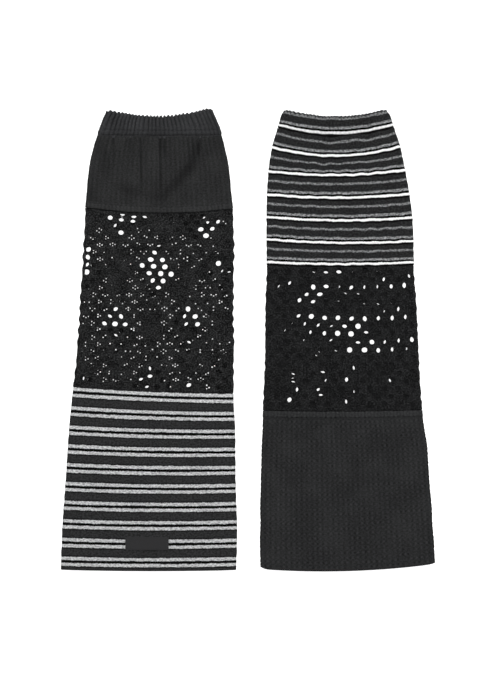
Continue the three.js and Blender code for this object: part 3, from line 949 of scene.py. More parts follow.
@dataclass
class LacePanel(TubePanel):
    """A tube of open knit, whose holes are cut through each of its two layers."""

    rim_rise: float = 0.35
    hole_to_fold: float = 4.6
    hole_to_seam: float = 3.4
    fold_margin: float = 0.25
    spots: tuple[SeenThrough, ...] = ()
    bridge: float = 1.0
    pin_growth: tuple[float, float] = (-0.15, 0.16)

    def keep_inside(self, holes: list[Opening]) -> list[Opening]:
        """Drop the holes that would run into a fold or a seam."""
        kept = []
        for hole in holes:
            course = self.course_at(hole.x, hole.y)
            line = self.outline.at(np.array([course]))[0]
            room = min(hole.x - line[0], line[1] - hole.x) - hole.across
            seam = min(course - self.start(), self.end() - course) - hole.along
            if room > self.hole_to_fold - 3.1 and seam > self.hole_to_seam - 2.9:
                kept.append(hole)
        return kept

    def line_up(self, front: list[Opening], back: list[Opening]) -> tuple[list[Opening], list[Opening]]:
        """Lay the two layers' holes over each other where the floor shows, and keep the others apart.

        Args:
            front: The holes of the front layer's lattice.
            back: The holes of the back layer's lattice.

        Returns:
            The holes of the front and of the back.
        """
        seen_front: list[Opening] = []
        seen_back: list[Opening] = []
        for spot in self.spots:
            lean = math.radians(spot.heading)
            step = np.array([math.cos(lean), math.sin(lean)]) * spot.apart / 2
            own = min(front, key=lambda hole: math.hypot(hole.x - spot.x, hole.y - spot.y))
            if (own.x - spot.x) * step[0] + (own.y - spot.y) * step[1] < 0:
                step = -step
            seen_front.append(Opening(spot.x + step[0], spot.y + step[1], own.across, own.along))
            seen_back.append(Opening(spot.x - step[0], spot.y - step[1], own.across, own.along))
        shut_front = [h for h in front if clear_of(h, seen_front, 6.8) and clear_of(h, seen_back, 5.0)]
        all_front = seen_front + shut_front
        shut_back = [h for h in back if clear_of(h, seen_back, 7.0) and clear_of(h, all_front, 5.6)]
        return self.fitted(all_front), self.fitted(seen_back + shut_back)

    def fitted(self, holes: list[Opening]) -> list[Opening]:
        """Holes made smaller where two would otherwise run together."""
        done = []
        for hole in holes:
            other = min(
                (o for o in holes if o is not hole), key=lambda o: math.hypot(hole.x - o.x, hole.y - o.y)
            )
            apart_x, apart_y = abs(hole.x - other.x), abs(hole.y - other.y)
            room = (math.hypot(apart_x, apart_y) - self.bridge) / 2
            across = min(hole.across, room) if apart_x > apart_y else hole.across
            along = min(hole.along, room) if apart_y >= apart_x else hole.along
            done.append(Opening(hole.x, hole.y, across, along))
        return done

    def course_at(self, x: float, y: float) -> float:
        """The course that passes through a point of the panel."""
        courses = np.linspace(self.start(), self.end(), 160)
        sizes = self.outline.at(courses)
        across = np.clip((2 * x - sizes[:, 0] - sizes[:, 1]) / (sizes[:, 1] - sizes[:, 0]), -1, 1)
        level = sizes[:, 2] + (sizes[:, 3] - sizes[:, 2]) * (across + 1) / 2 - sizes[:, 4] * (1 - across**2)
        return float(np.interp(-y, -level, courses))

    def nearest(self, x: Points, y: Points, holes: list[Opening]) -> tuple[Points, Points]:
        """Each point's nearest hole, and its distance from that hole's middle in hole radii."""
        if not holes:
            return np.zeros(x.shape, dtype=int), np.full(x.shape, 99.0)
        sizes = np.array([(h.x, h.y, h.across, h.along) for h in holes])
        best = np.full(x.shape, 99.0)
        owner = np.zeros(x.shape, dtype=int)
        for k, (hole_x, hole_y, across, along) in enumerate(sizes):
            away = np.hypot((x - hole_x) / across, (y - hole_y) / along)
            closer = away < best
            best[closer] = away[closer]
            owner[closer] = k
        return owner, best

    def cut(self, piece: bpy.types.Object, points: Points) -> None:
        """Delete the faces in the holes, and draw the holes' edges to their round form."""
        mesh = piece.data
        _, _, angle = self.columns.split(self.columns.places())
        width = len(angle)
        rows = len(points) // width
        facing = np.tile(np.sin(angle), rows)
        flat_x = points[:, 0].reshape(rows, width)[:, np.abs(np.sin(angle)) > 0.999]
        lowest = np.repeat(flat_x.min(axis=1) + self.fold_margin, width)
        highest = np.repeat(flat_x.max(axis=1) - self.fold_margin, width)
        corners = np.empty(len(mesh.loops), dtype=np.int32)
        mesh.loops.foreach_get("vertex_index", corners)
        quads = corners.reshape(-1, 4)
        cells = np.divmod(quads.min(axis=1), width)
        face_at = np.full((rows + 1, width + 1), len(quads))
        face_at[cells[0] + 1, cells[1] + 1] = np.arange(len(quads))
        centre = points[quads].mean(axis=1)
        face_side = facing[quads].mean(axis=1)
        gone = np.zeros(len(quads), dtype=bool)
        layers = zip(self.openings(), self.pinholes(), (1.0, -1.0))
        for holes, pins, side in layers:
            on_face = face_side * side > 0.9
            _, away = self.nearest(centre[:, 0], centre[:, 1], holes)
            removed = settle((on_face & (away < 1.0)).reshape(rows - 1, -1), away.reshape(rows - 1, -1)).ravel()
            used = np.zeros(len(points), dtype=bool)
            used[quads[removed].ravel()] = True
            stays = np.zeros(len(points), dtype=bool)
            stays[quads[~removed].ravel()] = True
            for marks in (used, stays):
                ends = marks.reshape(rows, width)
                ends[:, 0] |= ends[:, -1]
                ends[:, -1] |= ends[:, 0]
            rim = used & stays
            owner, reach = self.nearest(points[:, 0], points[:, 1], holes)
            inner = (points[:, 0] > lowest) & (points[:, 0] < highest)
            for k, hole in enumerate(holes):
                mine = rim & inner & (owner == k)
                middle = np.array([hole.x, hole.y])
                points[mine, :2] = middle + (points[mine, :2] - middle) / reach[mine, None]
            points[rim, 0] = np.clip(points[rim, 0], lowest[rim], highest[rim])
            near = (facing * side > 0.9) & (reach < 1.9)
            lift = self.rim_rise * hump(reach - 1.18, 0.24) - 0.12 * (side < 0)
            points[near, 2] += np.maximum(lift[near], -0.1)
            at_join = (cells[1] == 0) | (cells[1] == width - 2)
            blocked = np.append(used[quads].any(axis=1) | at_join, False)
            candidates = np.flatnonzero(on_face)
            growths = np.random.default_rng(self.seed).uniform(*self.pin_growth, len(pins))
            for pin, growth in zip(pins, growths):
                gap = np.hypot(*(centre[candidates, :2] - pin).T) + 99.0 * blocked[candidates]
                face = candidates[int(np.argmin(gap))]
                if gap.min() < 1.3 and away[face] > 1.35:
                    gone[face] = True
                    near_rows = cells[0][face] + np.arange(3)
                    near_columns = (cells[1][face] + np.arange(-1, 2)) % (width - 1) + 1
                    blocked[face_at[np.ix_(near_rows, near_columns)]] = True
                    ring = quads[face]
                    points[ring, :2] += growth * (points[ring, :2] - centre[face, :2])
            gone |= removed
        points[:, 2] = np.maximum(points[:, 2], 0.0)
        self.place_points(piece, points)
        select_faces(piece, gone)
        edit_mesh(piece, lambda: bpy.ops.mesh.delete(type="FACE"))


@dataclass(frozen=True)
class LatticeStation:
    """One row of the lace lattice: its number, its level, the place of its middle and its pitch."""

    row: int
    y: float
    middle: float
    pitch: float


FRONT_STATIONS = (
    LatticeStation(0, 127.4, -91.8, 13.6),
    LatticeStation(8, 68.6, -96.0, 12.47),
    LatticeStation(16, 9.8, -99.0, 12.4),
    LatticeStation(24, -48.4, -99.0, 12.45),
)
BACK_STATIONS = (
    LatticeStation(0, 130.0, -89.0, 13.5),
    LatticeStation(8, 75.9, -90.4, 12.47),
    LatticeStation(16, 24.3, -99.0, 12.4),
    LatticeStation(24, -29.0, -100.4, 11.95),
)


def station_sizes(stations: tuple[LatticeStation, ...], row: int) -> tuple[float, float, float]:
    """A lattice row's level, middle and pitch, carried on in a straight line past the last stations.

    Args:
        stations: The rows that place the lattice.
        row: The row's number.

    Returns:
        The level, the place of the middle and the pitch.
    """
    later = [k for k in range(1, len(stations)) if stations[k].row >= row]
    end = stations[later[0] if later else len(stations) - 1]
    start = stations[(later[0] if later else len(stations) - 1) - 1]
    share = (row - start.row) / (end.row - start.row)
    return (
        start.y + share * (end.y - start.y),
        start.middle + share * (end.middle - start.middle),
        start.pitch + share * (end.pitch - start.pitch),
    )


@dataclass(frozen=True)
class PinPatch:
    """An oval patch of the left lace, and the share of its pinholes that lie over each other in both layers."""

    x: float
    y: float
    across: float
    along: float
    share: float


PIN_PATCHES = (
    PinPatch(-122.0, 120.0, 19.0, 17.0, 1.0),
    PinPatch(-54.0, 112.0, 13.0, 12.0, 1.0),
    PinPatch(-158.0, 70.0, 13.0, 30.0, 1.0),
    PinPatch(-114.0, 42.0, 13.0, 30.0, 1.0),
    PinPatch(-139.0, 30.0, 13.0, 13.0, 1.0),
    PinPatch(-76.0, 2.0, 13.0, 37.0, 1.0),
    PinPatch(-166.0, -6.0, 14.0, 42.0, 1.0),
    PinPatch(-104.0, -33.0, 25.0, 13.0, 1.0),
    PinPatch(-84.0, 121.0, 20.0, 15.0, 0.0),
    PinPatch(-133.0, 72.0, 11.0, 27.0, 0.0),
    PinPatch(-44.0, 88.0, 13.0, 14.0, 0.05),
    PinPatch(-68.0, 58.0, 11.0, 25.0, 0.0),
    PinPatch(-100.0, 16.0, 9.0, 27.0, 0.0),
    PinPatch(-24.0, 0.0, 13.0, 44.0, 0.1),
    PinPatch(-134.0, -20.0, 8.0, 17.0, 0.1),
    PinPatch(-61.5, -19.0, 10.5, 17.0, 0.0),
    PinPatch(-24.0, 100.0, 12.0, 20.0, 0.0),
    PinPatch(-164.0, 126.0, 12.0, 15.0, 0.0),
)


@dataclass
class DiamondLace(LacePanel):
    """Open knit with diamonds of sixteen large holes, and groups of four pinholes between them."""

    large_pitch: float = 11.6
    hole_across: float = 2.95
    hole_along: float = 2.7
    pin_across: float = 2.6
    pin_along: float = 1.5
    pins_over_pins: float = 0.68

    def sites(self, stations: tuple[LatticeStation, ...], seed: int) -> tuple[list[Opening], Points]:
        """The holes of one layer.

        Args:
            stations: The rows that place its lattice.
            seed: Picks the small unevenness of the holes.

        Returns:
            The large holes, and the places of the pinholes.
        """
        chance = np.random.default_rng(seed)
        large: list[Opening] = []
        pins: list[tuple[float, float]] = []
        for row in range(-3, 30):
            y, middle, pitch = station_sizes(stations, row)
            odd = row % 2
            for step in range(-9, 10):
                site = step + (0.5 if not odd else 0.0)
                cluster, from_middle, from_row = self.nearest_cluster(site, row)
                kind = abs(from_middle) + abs(from_row) / 2
                beside = abs(abs(from_middle) - 3) + abs(from_row) / 2
                if kind <= 1.5:
                    x = middle + cluster * pitch + from_middle * self.large_pitch
                    grow = chance.uniform(0.88, 1.08)
                    across = self.hole_across * grow
                    along = self.hole_along * chance.uniform(0.92, 1.08)
                    jitter_x, jitter_y = chance.uniform(-0.4, 0.4, 2)
                    large.append(Opening(x + jitter_x, y + jitter_y, across, along))
                elif beside > 1.25:
                    x = middle + site * pitch + chance.uniform(-0.3, 0.3)
                    group = [(-self.pin_across, 0), (self.pin_across, 0), (0, self.pin_along), (0, -self.pin_along)]
                    kept = group if chance.random() < 0.7 else group[1:]
                    pins += [(x + dx, y + dy) for dx, dy in kept]
        return self.keep_inside(large), self.clear_pins(np.array(pins))

    def nearest_cluster(self, site: float, row: int) -> tuple[float, float, int]:
        """The diamond nearest a site: its middle, and the site's distance from it across and along."""
        best: tuple[float, float, int] | None = None
        for group in range(-1, 5):
            shift = 3.0 if group % 2 == 0 else 0.0
            for turn in range(-3, 4):
                middle = 6.0 * turn + shift
                across, along = site - middle, row - 8 * group
                if best is None or abs(across) + abs(along) / 2 < abs(best[1]) + abs(best[2]) / 2:
                    best = (middle, across, along)
        return best

    def clear_pins(self, pins: Points) -> Points:
        """The pinholes that lie clear of the folds and seams."""
        kept = []
        for x, y in pins:
            course = self.course_at(x, y)
            line = self.outline.at(np.array([course]))[0]
            inside = min(x - line[0], line[1] - x) > 3.6
            if inside and min(course - self.start(), self.end() - course) > 2.6:
                kept.append((x, y))
        return np.array(kept).reshape(-1, 2)

    def openings(self) -> tuple[list[Opening], list[Opening]]:
        """The large holes of the front and of the back."""
        return self.line_up(self.sites(FRONT_STATIONS, 11)[0], self.sites(BACK_STATIONS, 12)[0])

    def pinholes(self) -> tuple[Points, Points]:
        """The pinholes of the front and of the back, which lie over each other by the patches' shares."""
        chance = np.random.default_rng(17)
        front = self.sites(FRONT_STATIONS, 11)[1]
        back = self.sites(BACK_STATIONS, 12)[1]
        share = np.full(len(front), self.pins_over_pins)
        for patch in PIN_PATCHES:
            away = np.hypot((front[:, 0] - patch.x) / patch.across, (front[:, 1] - patch.y) / patch.along)
            share[away < 1] = patch.share
        return front, np.vstack([front[chance.random(len(front)) < share], back])


NET_STATIONS = (
    LatticeStation(0, 69.9, 95.0, 13.3),
    LatticeStation(2, 54.3, 94.6, 13.4),
    LatticeStation(6, 22.6, 92.9, 13.8),
    LatticeStation(8, 6.5, 92.4, 14.0),
    LatticeStation(10, -10.5, 90.6, 14.5),
    LatticeStation(17, -66.5, 88.5, 14.8),
)


@dataclass
class EvenNet(LacePanel):
    """Open knit with an even net of large holes."""

    rows_of_holes: int = 18
    slip_down: float = 1.2
    hole_across: float = 3.0
    hole_along: float = 2.85

    def layer(self, slip: float, seed: int) -> list[Opening]:
        """The holes of one layer.

        Args:
            slip: How far it has slipped across, in pitches.
            seed: Picks the small unevenness of the holes.

        Returns:
            The holes.
        """
        chance = np.random.default_rng(seed)
        holes = []
        for row in range(self.rows_of_holes):
            y, middle, pitch = station_sizes(NET_STATIONS, row)
            for step in range(-6, 8):
                x = middle + (step + 0.5 * (row % 2) + slip) * pitch
                jitter_x, jitter_y = chance.uniform(-0.45, 0.45, 2)
                across = self.hole_across * chance.uniform(0.86, 1.06)
                along = self.hole_along * chance.uniform(0.86, 1.06)
                down = 2 * slip * self.slip_down
                holes.append(Opening(x + jitter_x, y - down + jitter_y, across, along))
        return self.keep_inside(holes)

    def openings(self) -> tuple[list[Opening], list[Opening]]:
        """The holes of the front and of the back."""
        return self.line_up(self.layer(0.0, 21), self.layer(0.5, 22))


class NodeBoard:
    """The nodes of one material, with short ways to add and join them."""

    def __init__(self, name: str) -> None:
        """Make an empty material with one shader."""
        self.material = bpy.data.materials.new(name)
        self.material.use_nodes = True
        self.nodes = self.material.node_tree.nodes
        self.links = self.material.node_tree.links
        self.shader = self.nodes["Principled BSDF"]

    def feed(self, socket: Socket, value: "Socket | float | tuple[float, ...]") -> None:
        """Join a socket to another, or give it a number."""
        if isinstance(value, bpy.types.NodeSocket):
            self.links.new(value, socket)
        else:
            socket.default_value = value

    def maths(self, operation: str, *values: "Socket | float") -> Socket:
        """The result of one sum on up to three values."""
        node = self.nodes.new("ShaderNodeMath")
        node.operation = operation
        for socket, value in zip(node.inputs, values):
            self.feed(socket, value)
        return node.outputs[0]

    def pattern(self) -> tuple[Socket, Socket]:
        """The cloth's own coordinates in metres: round the tube and along it."""
        source = self.nodes.new("ShaderNodeUVMap")
        source.uv_map = CLOTH_UV
        split = self.nodes.new("ShaderNodeSeparateXYZ")
        self.feed(split.inputs[0], source.outputs["UV"])
        return split.outputs["X"], split.outputs["Y"]

    def noise(self, around: Socket, along: Socket, sizes: tuple[float, float], detail: float = 2.0) -> Socket:
        """Soft noise whose grains are as long and as high as sizes says, in metres."""
        join = self.nodes.new("ShaderNodeCombineXYZ")
        self.feed(join.inputs[0], self.maths("DIVIDE", around, sizes[0]))
        self.feed(join.inputs[1], self.maths("DIVIDE", along, sizes[1]))
        node = self.nodes.new("ShaderNodeTexNoise")
        self.feed(node.inputs["Vector"], join.outputs[0])
        self.feed(node.inputs["Scale"], 1.0)
        self.feed(node.inputs["Detail"], detail)
        return node.outputs["Fac"]

    def remap(self, value: Socket, low: float, high: float, to_low: float = 0.0, to_high: float = 1.0) -> Socket:
        """A soft step of a value between two limits."""
        node = self.nodes.new("ShaderNodeMapRange")
        node.interpolation_type = "SMOOTHSTEP"
        for socket, number in zip(node.inputs[1:5], (low, high, to_low, to_high)):
            self.feed(socket, number)
        self.feed(node.inputs[0], value)
        return node.outputs[0]

    def mix(self, share: "Socket | float", first: "Socket | tuple", second: "Socket | tuple") -> Socket:
        """A blend of two colours."""
        node = self.nodes.new("ShaderNodeMix")
        node.data_type = "RGBA"
        node.clamp_factor = False
        self.feed(node.inputs["Factor"], share)
        self.feed(node.inputs["A"], first)
        self.feed(node.inputs["B"], second)
        return node.outputs["Result"]

    def wave(self, value: Socket, length: float) -> Socket:
        """A round wave from -1 to 1 with a crest at nothing."""
        return self.maths("COSINE", self.maths("MULTIPLY", value, math.tau / length))

    def stitches(self, around: Socket, along: Socket, wale: float, course: float) -> Socket:
        """The height of plain knit stitches: two slanting legs in each wale."""
        across = self.maths("DIVIDE", around, wale)
        slant = self.maths("PINGPONG", across, 0.5)
        climb = self.maths("ADD", self.maths("DIVIDE", along, course), self.maths("MULTIPLY", slant, 1.4))
        loop = self.maths("SINE", self.maths("MULTIPLY", climb, math.tau))
        leg = self.maths("ABSOLUTE", self.maths("SINE", self.maths("MULTIPLY", across, math.tau)))
        return self.maths("ADD", self.maths("MULTIPLY", loop, 0.4), leg)

    def painted_hollow_shade(self, colour: Socket, strength: float = 0.75) -> Socket:
        """A colour with painted shade: darker where the cloth is sunken, in its valleys, creases and cells."""
        share = self.maths("MULTIPLY", self.attribute(HOLLOW_SHADE), strength)
        return self.mix(share, colour, (0.0015, 0.0015, 0.0016, 1.0))

    def attribute(self, name: str) -> Socket:
        """A number that each point of a piece carries."""
        source = self.nodes.new("ShaderNodeAttribute")
        source.attribute_name = name
        return source.outputs["Fac"]

    def bump(self, height: Socket, distance: float, strength: float = 1.0) -> None:
        """Give the shader a fine relief, in metres."""
        node = self.nodes.new("ShaderNodeBump")
        self.feed(node.inputs["Strength"], strength)
        self.feed(node.inputs["Distance"], distance)
        self.feed(node.inputs["Height"], height)
        self.feed(self.shader.inputs["Normal"], node.outputs["Normal"])

    def cloth(self, roughness: float, sheen: float) -> None:
        """Set the shader's plain numbers for matt cloth."""
        self.shader.inputs["Roughness"].default_value = roughness
        self.shader.inputs["Sheen Weight"].default_value = sheen
        self.shader.inputs["Sheen Roughness"].default_value = 0.6
        self.shader.inputs["Specular IOR Level"].default_value = 0.08


Colour = tuple[float, float, float, float]


@dataclass(frozen=True)
class Finish:
    """A finish for cloth. Each kind makes its own material."""

    name: str
    dark: Colour = (0.0122, 0.0125, 0.0127, 1.0)
    light: Colour = (0.03, 0.0306, 0.031, 1.0)

    def material(self) -> bpy.types.Material:
        """Make the material."""
        raise NotImplementedError

    def dress(self, piece: bpy.types.Object) -> None:
        """Put the finish on a piece."""
        piece.data.materials.clear()
        piece.data.materials.append(self.material())


@dataclass(frozen=True)
class WaffleKnit(Finish):
    """Matt waffle knit of fine ribbed yarn: a painted highlight makes its ridges lighter than its cells."""

    wale: float = 5.0
    cell: float = 5.0
    ridge_highlight_share: float = 0.34
    weave: Weave = RIBBED_WEAVE
    sunken_shade: float = 0.45
    band_middle: float | None = None

    def material(self) -> bpy.types.Material:
        """Make the material."""
        board = NodeBoard(self.name)
        around, along = board.pattern()
        upright = board.wave(around, self.wale * MILLIMETRE)
        level = board.wave(along, self.cell * MILLIMETRE)
        crossing = board.maths("MULTIPLY", upright, level)
        ridge = board.maths("MULTIPLY", crossing, self.weave.crossing)
        ridge = board.maths("MULTIPLY_ADD", upright, self.weave.upright, ridge)
        ridge = board.maths("MULTIPLY_ADD", level, self.weave.level, ridge)
        mottle = board.remap(board.noise(around, along, (0.0019, 0.0016)), 0.3, 0.7)
        patches = board.noise(around, along, (0.03, 0.03))
        uneven = board.remap(board.noise(around, along, (0.009, 0.009)), 0.35, 0.65, 0.3, 1.5)
        # Painted highlight: the ridges are coloured lighter, as if they caught the light.
        share = board.maths("MULTIPLY", board.maths("MULTIPLY", ridge, uneven), self.ridge_highlight_share)
        share = board.maths("ADD", share, board.maths("MULTIPLY_ADD", mottle, 0.6, 0.15))
        share = board.maths("ADD", share, board.remap(patches, 0.35, 0.65, -0.1, 0.1))
        if self.band_middle is not None:
            share = board.maths("ADD", share, self.seam_band(board, around, along))
        colour = board.mix(share, self.dark, self.light)
        # Painted shade where the cloth is sunken.
        board.feed(board.shader.inputs["Base Color"], board.painted_hollow_shade(colour, self.sunken_shade))
        stitches = board.stitches(around, along, 0.00125, 0.0011)
        fibres = board.noise(around, along, (0.0004, 0.0004), 4.0)
        board.bump(board.maths("ADD", stitches, board.maths("MULTIPLY", fibres, 0.8)), 0.00018)
        board.cloth(0.95, 0.0)
        return board.material


    def seam_band(self, board: NodeBoard, around: Socket, along: Socket) -> Socket:
        """The lighter upright ribs of the band beside a seam, with a dark line of painted shadow at the band's far
        edge.
        """
        away = board.maths("ABSOLUTE", board.maths("SUBTRACT", along, self.band_middle * MILLIMETRE))
        half = BAND_WIDTH / 2 * MILLIMETRE
        inside = board.remap(away, half, half - 0.0006)
        # Painted shadow: a dark line where the raised band meets the cloth beside it.
        edge = board.remap(board.maths("ABSOLUTE", board.maths("SUBTRACT", away, half)), 0.0007, 0.0002)
        rib = board.maths("SINE", board.maths("MULTIPLY", around, math.tau / 0.0036))
        lift = board.maths("MULTIPLY", inside, board.maths("ADD", board.maths("MULTIPLY", rib, 0.2), 0.22))
        return board.maths("SUBTRACT", lift, board.maths("MULTIPLY", edge, 0.3))


@dataclass(frozen=True)
class LaceKnit(Finish):
    """Matt black open knit of twisted yarn, with painted shade where it is sunken and, if set, painted light on its
    back layer.
    """

    dark: Colour = (0.0035, 0.0036, 0.0037, 1.0)
    light: Colour = (0.0425, 0.0432, 0.044, 1.0)
    wale: float = 1.5
    grain: tuple[float, float] = (0.0016, 0.0014)
    far_layer_painted_light: float = 0.0

    def material(self) -> bpy.types.Material:
        """Make the material."""
        board = NodeBoard(self.name)
        around, along = board.pattern()
        mottle = board.remap(board.noise(around, along, self.grain, 3.0), 0.4, 0.7)
        patches = board.noise(around, along, (0.012, 0.012))
        share = board.maths("ADD", board.maths("MULTIPLY", mottle, 0.9), board.remap(patches, 0.3, 0.7, -0.1, 0.15))
        # Painted light: the back layer, seen through the front's holes, is coloured lighter to stand in for the
        # light it lacks.
        if self.far_layer_painted_light:
            share = board.maths("MULTIPLY_ADD", board.attribute(FAR_LAYER), self.far_layer_painted_light, share)
        # Painted shade where the cloth is sunken.
        board.feed(board.shader.inputs["Base Color"], board.painted_hollow_shade(board.mix(share, self.dark, self.light)))
        stitches = board.stitches(around, along, self.wale * MILLIMETRE, 0.0013)
        fibres = board.noise(around, along, (0.0004, 0.0004), 4.0)
        board.bump(board.maths("ADD", stitches, board.maths("MULTIPLY", fibres, 0.8)), 0.0004)
        board.cloth(0.9, 0.0)
        return board.material


@dataclass(frozen=True)
class StripeBand:
    """One line of a striped cloth: where it lies in the repeat, its half width and soft edge, its colours
    and how much of the base yarn shows through it."""

    offset: float
    half_width: float
    softness: float
    colour: Colour
    shade: Colour
    cover: float = 1.0


@dataclass(frozen=True)
class StripedKnit(Finish):
    """Black knit with repeated lines of heather or white yarn, and painted shade where it is sunken."""

    dark: Colour = (0.0085, 0.0087, 0.009, 1.0)
    light: Colour = (0.024, 0.0245, 0.025, 1.0)
    repeat: float = STRIPE_REPEAT
    first: float = 0.0
    bands: tuple[StripeBand, ...] = ()
    wobble: float = 0.0006
    heather: tuple[float, float] = (0.0026, 0.0011)
    wale: float = 1.4
    relief: float = 0.00022

    def material(self) -> bpy.types.Material:
        """Make the material."""
        board = NodeBoard(self.name)
        around, along = board.pattern()
        mottle = board.remap(board.noise(around, along, (0.0022, 0.0016)), 0.3, 0.7)
        colour = board.mix(mottle, self.dark, self.light)
        fuzz = board.noise(around, along, (0.0016, 0.004), 3.0)
        shift = board.maths("MULTIPLY", board.maths("SUBTRACT", fuzz, 0.5), 2 * self.wobble)
        moved = board.maths("ADD", along, shift)
        grain = board.noise(around, along, self.heather, 3.0)
        for band in self.bands:
            start = (self.first + band.offset) * MILLIMETRE
            half = self.repeat * MILLIMETRE / 2
            away = board.maths("ABSOLUTE", board.maths("WRAP", board.maths("SUBTRACT", moved, start), half, -half))
            inner = (band.half_width - band.softness) * MILLIMETRE
            outer = (band.half_width + band.softness) * MILLIMETRE
            mask = board.maths("MULTIPLY", board.remap(away, outer, inner), band.cover)
            yarn = board.mix(board.remap(grain, 0.34, 0.66), band.shade, band.colour)
            colour = board.mix(mask, colour, yarn)
        # Painted shade where the cloth is sunken.
        board.feed(board.shader.inputs["Base Color"], board.painted_hollow_shade(colour, 0.6))
        stitches = board.stitches(around, along, self.wale * MILLIMETRE, 0.0012)
        fibres = board.noise(around, along, (0.0005, 0.0004), 4.0)
        board.bump(board.maths("ADD", stitches, board.maths("MULTIPLY", fibres, 0.8)), self.relief)
        board.cloth(0.95, 0.0)
        return board.material


@dataclass(frozen=True)
class WovenTape(Finish):
    """Smooth black woven tape, left bare."""

    def material(self) -> bpy.types.Material:
        """Make the material."""
        board = NodeBoard(self.name)
        around, along = board.pattern()
        mottle = board.noise(around, along, (0.004, 0.0006))
        board.feed(board.shader.inputs["Base Color"], board.mix(mottle, self.dark, self.light))
        weft = board.maths("SINE", board.maths("MULTIPLY", along, math.tau / 0.0005))
        warp = board.maths("SINE", board.maths("MULTIPLY", around, math.tau / 0.0004))
        board.bump(board.maths("MULTIPLY", weft, warp), 0.00006)
        board.cloth(0.7, 0.0)
        return board.material


@dataclass(frozen=True)
class SewingThread(Finish):
    """Black sewing thread."""

    def material(self) -> bpy.types.Material:
        """Make the material."""
        board = NodeBoard(self.name)
        place = board.nodes.new("ShaderNodeTexCoord")
        twist = board.nodes.new("ShaderNodeTexNoise")
        board.feed(twist.inputs["Vector"], place.outputs["Object"])
        board.feed(twist.inputs["Scale"], 1800.0)
        board.feed(board.shader.inputs["Base Color"], board.mix(twist.outputs["Fac"], self.dark, self.light))
        board.bump(twist.outputs["Fac"], 0.0001)
        board.cloth(0.6, 0.0)
        return board.material


@dataclass
class StitchRow:
    """Rows of machine stitches on a panel, as one joined mesh."""

    name: str
    panel: TubePanel
    courses: tuple[float, ...]
    slot: str
    length: float = 2.5
    pitch: float = 3.3
    thickness: float = 0.55
    finish: SewingThread = SewingThread("sewing thread", dark=(0.005, 0.005, 0.0052, 1), light=(0.013, 0.013, 0.0135, 1))

    def bead(self) -> tuple[Points, Points]:
        """One stitch, rounded at its ends, along X."""
        bpy.ops.object.select_all(action="DESELECT")
        bpy.ops.mesh.primitive_uv_sphere_add(segments=6, ring_count=5, radius=0.5, rotation=(0, math.pi / 2, 0))
        stitch = bpy.context.object
        bpy.ops.object.transform_apply(location=True, rotation=True, scale=True)
        edit_mesh(stitch, lambda: bpy.ops.mesh.quads_convert_to_tris())
        points = np.array([v.co[:] for v in stitch.data.vertices])
        faces = np.array([f.vertices[:] for f in stitch.data.polygons])
        bpy.data.objects.remove(stitch, do_unlink=True)
        return points * (self.length, self.thickness, 0.6 * self.thickness), faces

    def build(self) -> bpy.types.Object:
        """Lay the stitches along their courses, front and back.

        Returns:
            The joined piece.
        """
        shape, faces = self.bead()
        all_points: list[Points] = []
        all_faces: list[Points] = []
        count = 0
        for course in self.courses:
            plan = RowPlan()
            plan.add(course)
            place = self.panel.columns.places()
            ring = self.panel.shape(plan, place)[0]
            _, _, angle = self.panel.columns.split(place)
            for face_side in (1.0, -1.0):
                on_face = np.sin(angle) * face_side > 0.99
                path = ring[on_face]
                path = path[np.argsort(path[:, 0])]
                travelled = np.concatenate([[0], np.cumsum(np.hypot(*np.diff(path[:, :2], axis=0).T))])
                for spot in np.arange(self.pitch, travelled[-1] - self.pitch, self.pitch):
                    ends = [
                        np.array([np.interp(s, travelled, path[:, k]) for k in range(3)])
                        for s in (spot - self.length / 2, spot + self.length / 2)
                    ]
                    middle = (ends[0] + ends[1]) / 2
                    heading = ends[1] - ends[0]
                    heading = heading / np.linalg.norm(heading)
                    across = np.cross([0, 0, 1], heading)
                    across = across / np.linalg.norm(across)
                    up = np.cross(heading, across)
                    turned = shape @ np.array([heading, across, up])
                    lifted = turned + middle + (0, 0, 0.12 if face_side > 0 else 0.2)
                    all_points.append(lifted)
                    all_faces.append(faces + count)
                    count += len(shape)
        mesh = bpy.data.meshes.new(self.name)
        mesh.from_pydata(np.vstack(all_points) * MILLIMETRE, [], np.vstack(all_faces).tolist())
        piece = bpy.data.objects.new(self.name, mesh)
        bpy.context.collection.objects.link(piece)
        mesh.shade_smooth()
        self.finish.dress(piece)
        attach(piece, BODY)
        return piece


@dataclass
class BareLabel:
    """A plain woven label on the lower panel of the left leg warmer."""

    outline: Outline
    left: float = -126.1
    right: float = -81.5
    top_share: float = 0.13
    bottom_share: float = 0.46
    thickness: float = 0.45
    clearance: float = 0.3
    finish: WovenTape = WovenTape("label tape", dark=(0.021, 0.021, 0.0217, 1), light=(0.027, 0.027, 0.028, 1))

    def build(self) -> bpy.types.Object:
        """Make the label, with turned ends and a slightly soft lie.

        Returns:
            The finished piece.
        """
        upper = self.outline.lines["flare_low"]
        lower = self.outline.lines["hem"]
        columns, rows = 36, 12
        piece = new_grid("a_label_tape", columns, rows)
        across = np.linspace(self.left, self.right, columns + 1)[None, :]
        share = np.linspace(self.bottom_share, self.top_share, rows + 1)[:, None]
        numbers = np.array(upper.numbers()) + share[..., None] * (np.array(lower.numbers()) - upper.numbers())
        left, right, left_y, right_y, sag, height = (numbers[..., k] for k in range(6))
        place = (2 * across - left - right) / (right - left)
        y = left_y + (right_y - left_y) * (place + 1) / 2 - sag * (1 - place**2)
        z = height + self.clearance + self.thickness + 0.08 * ripple(across, y, 12.0, 5)
        z = z + 0.15 * hump(across - self.left, 2.5) + 0.15 * hump(across - self.right, 2.5)
        x = np.broadcast_to(across, y.shape)
        points = np.stack([x, y, z], axis=-1).reshape(-1, 3)
        write_uv(piece, points[:, :2] * MILLIMETRE)
        piece.data.vertices.foreach_set("co", (points * MILLIMETRE).astype(np.float32).ravel())
        piece.data.update()
        thicken(piece, self.thickness)
        self.finish.dress(piece)
        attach(piece, BODY)
        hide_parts("a_label")
        return piece


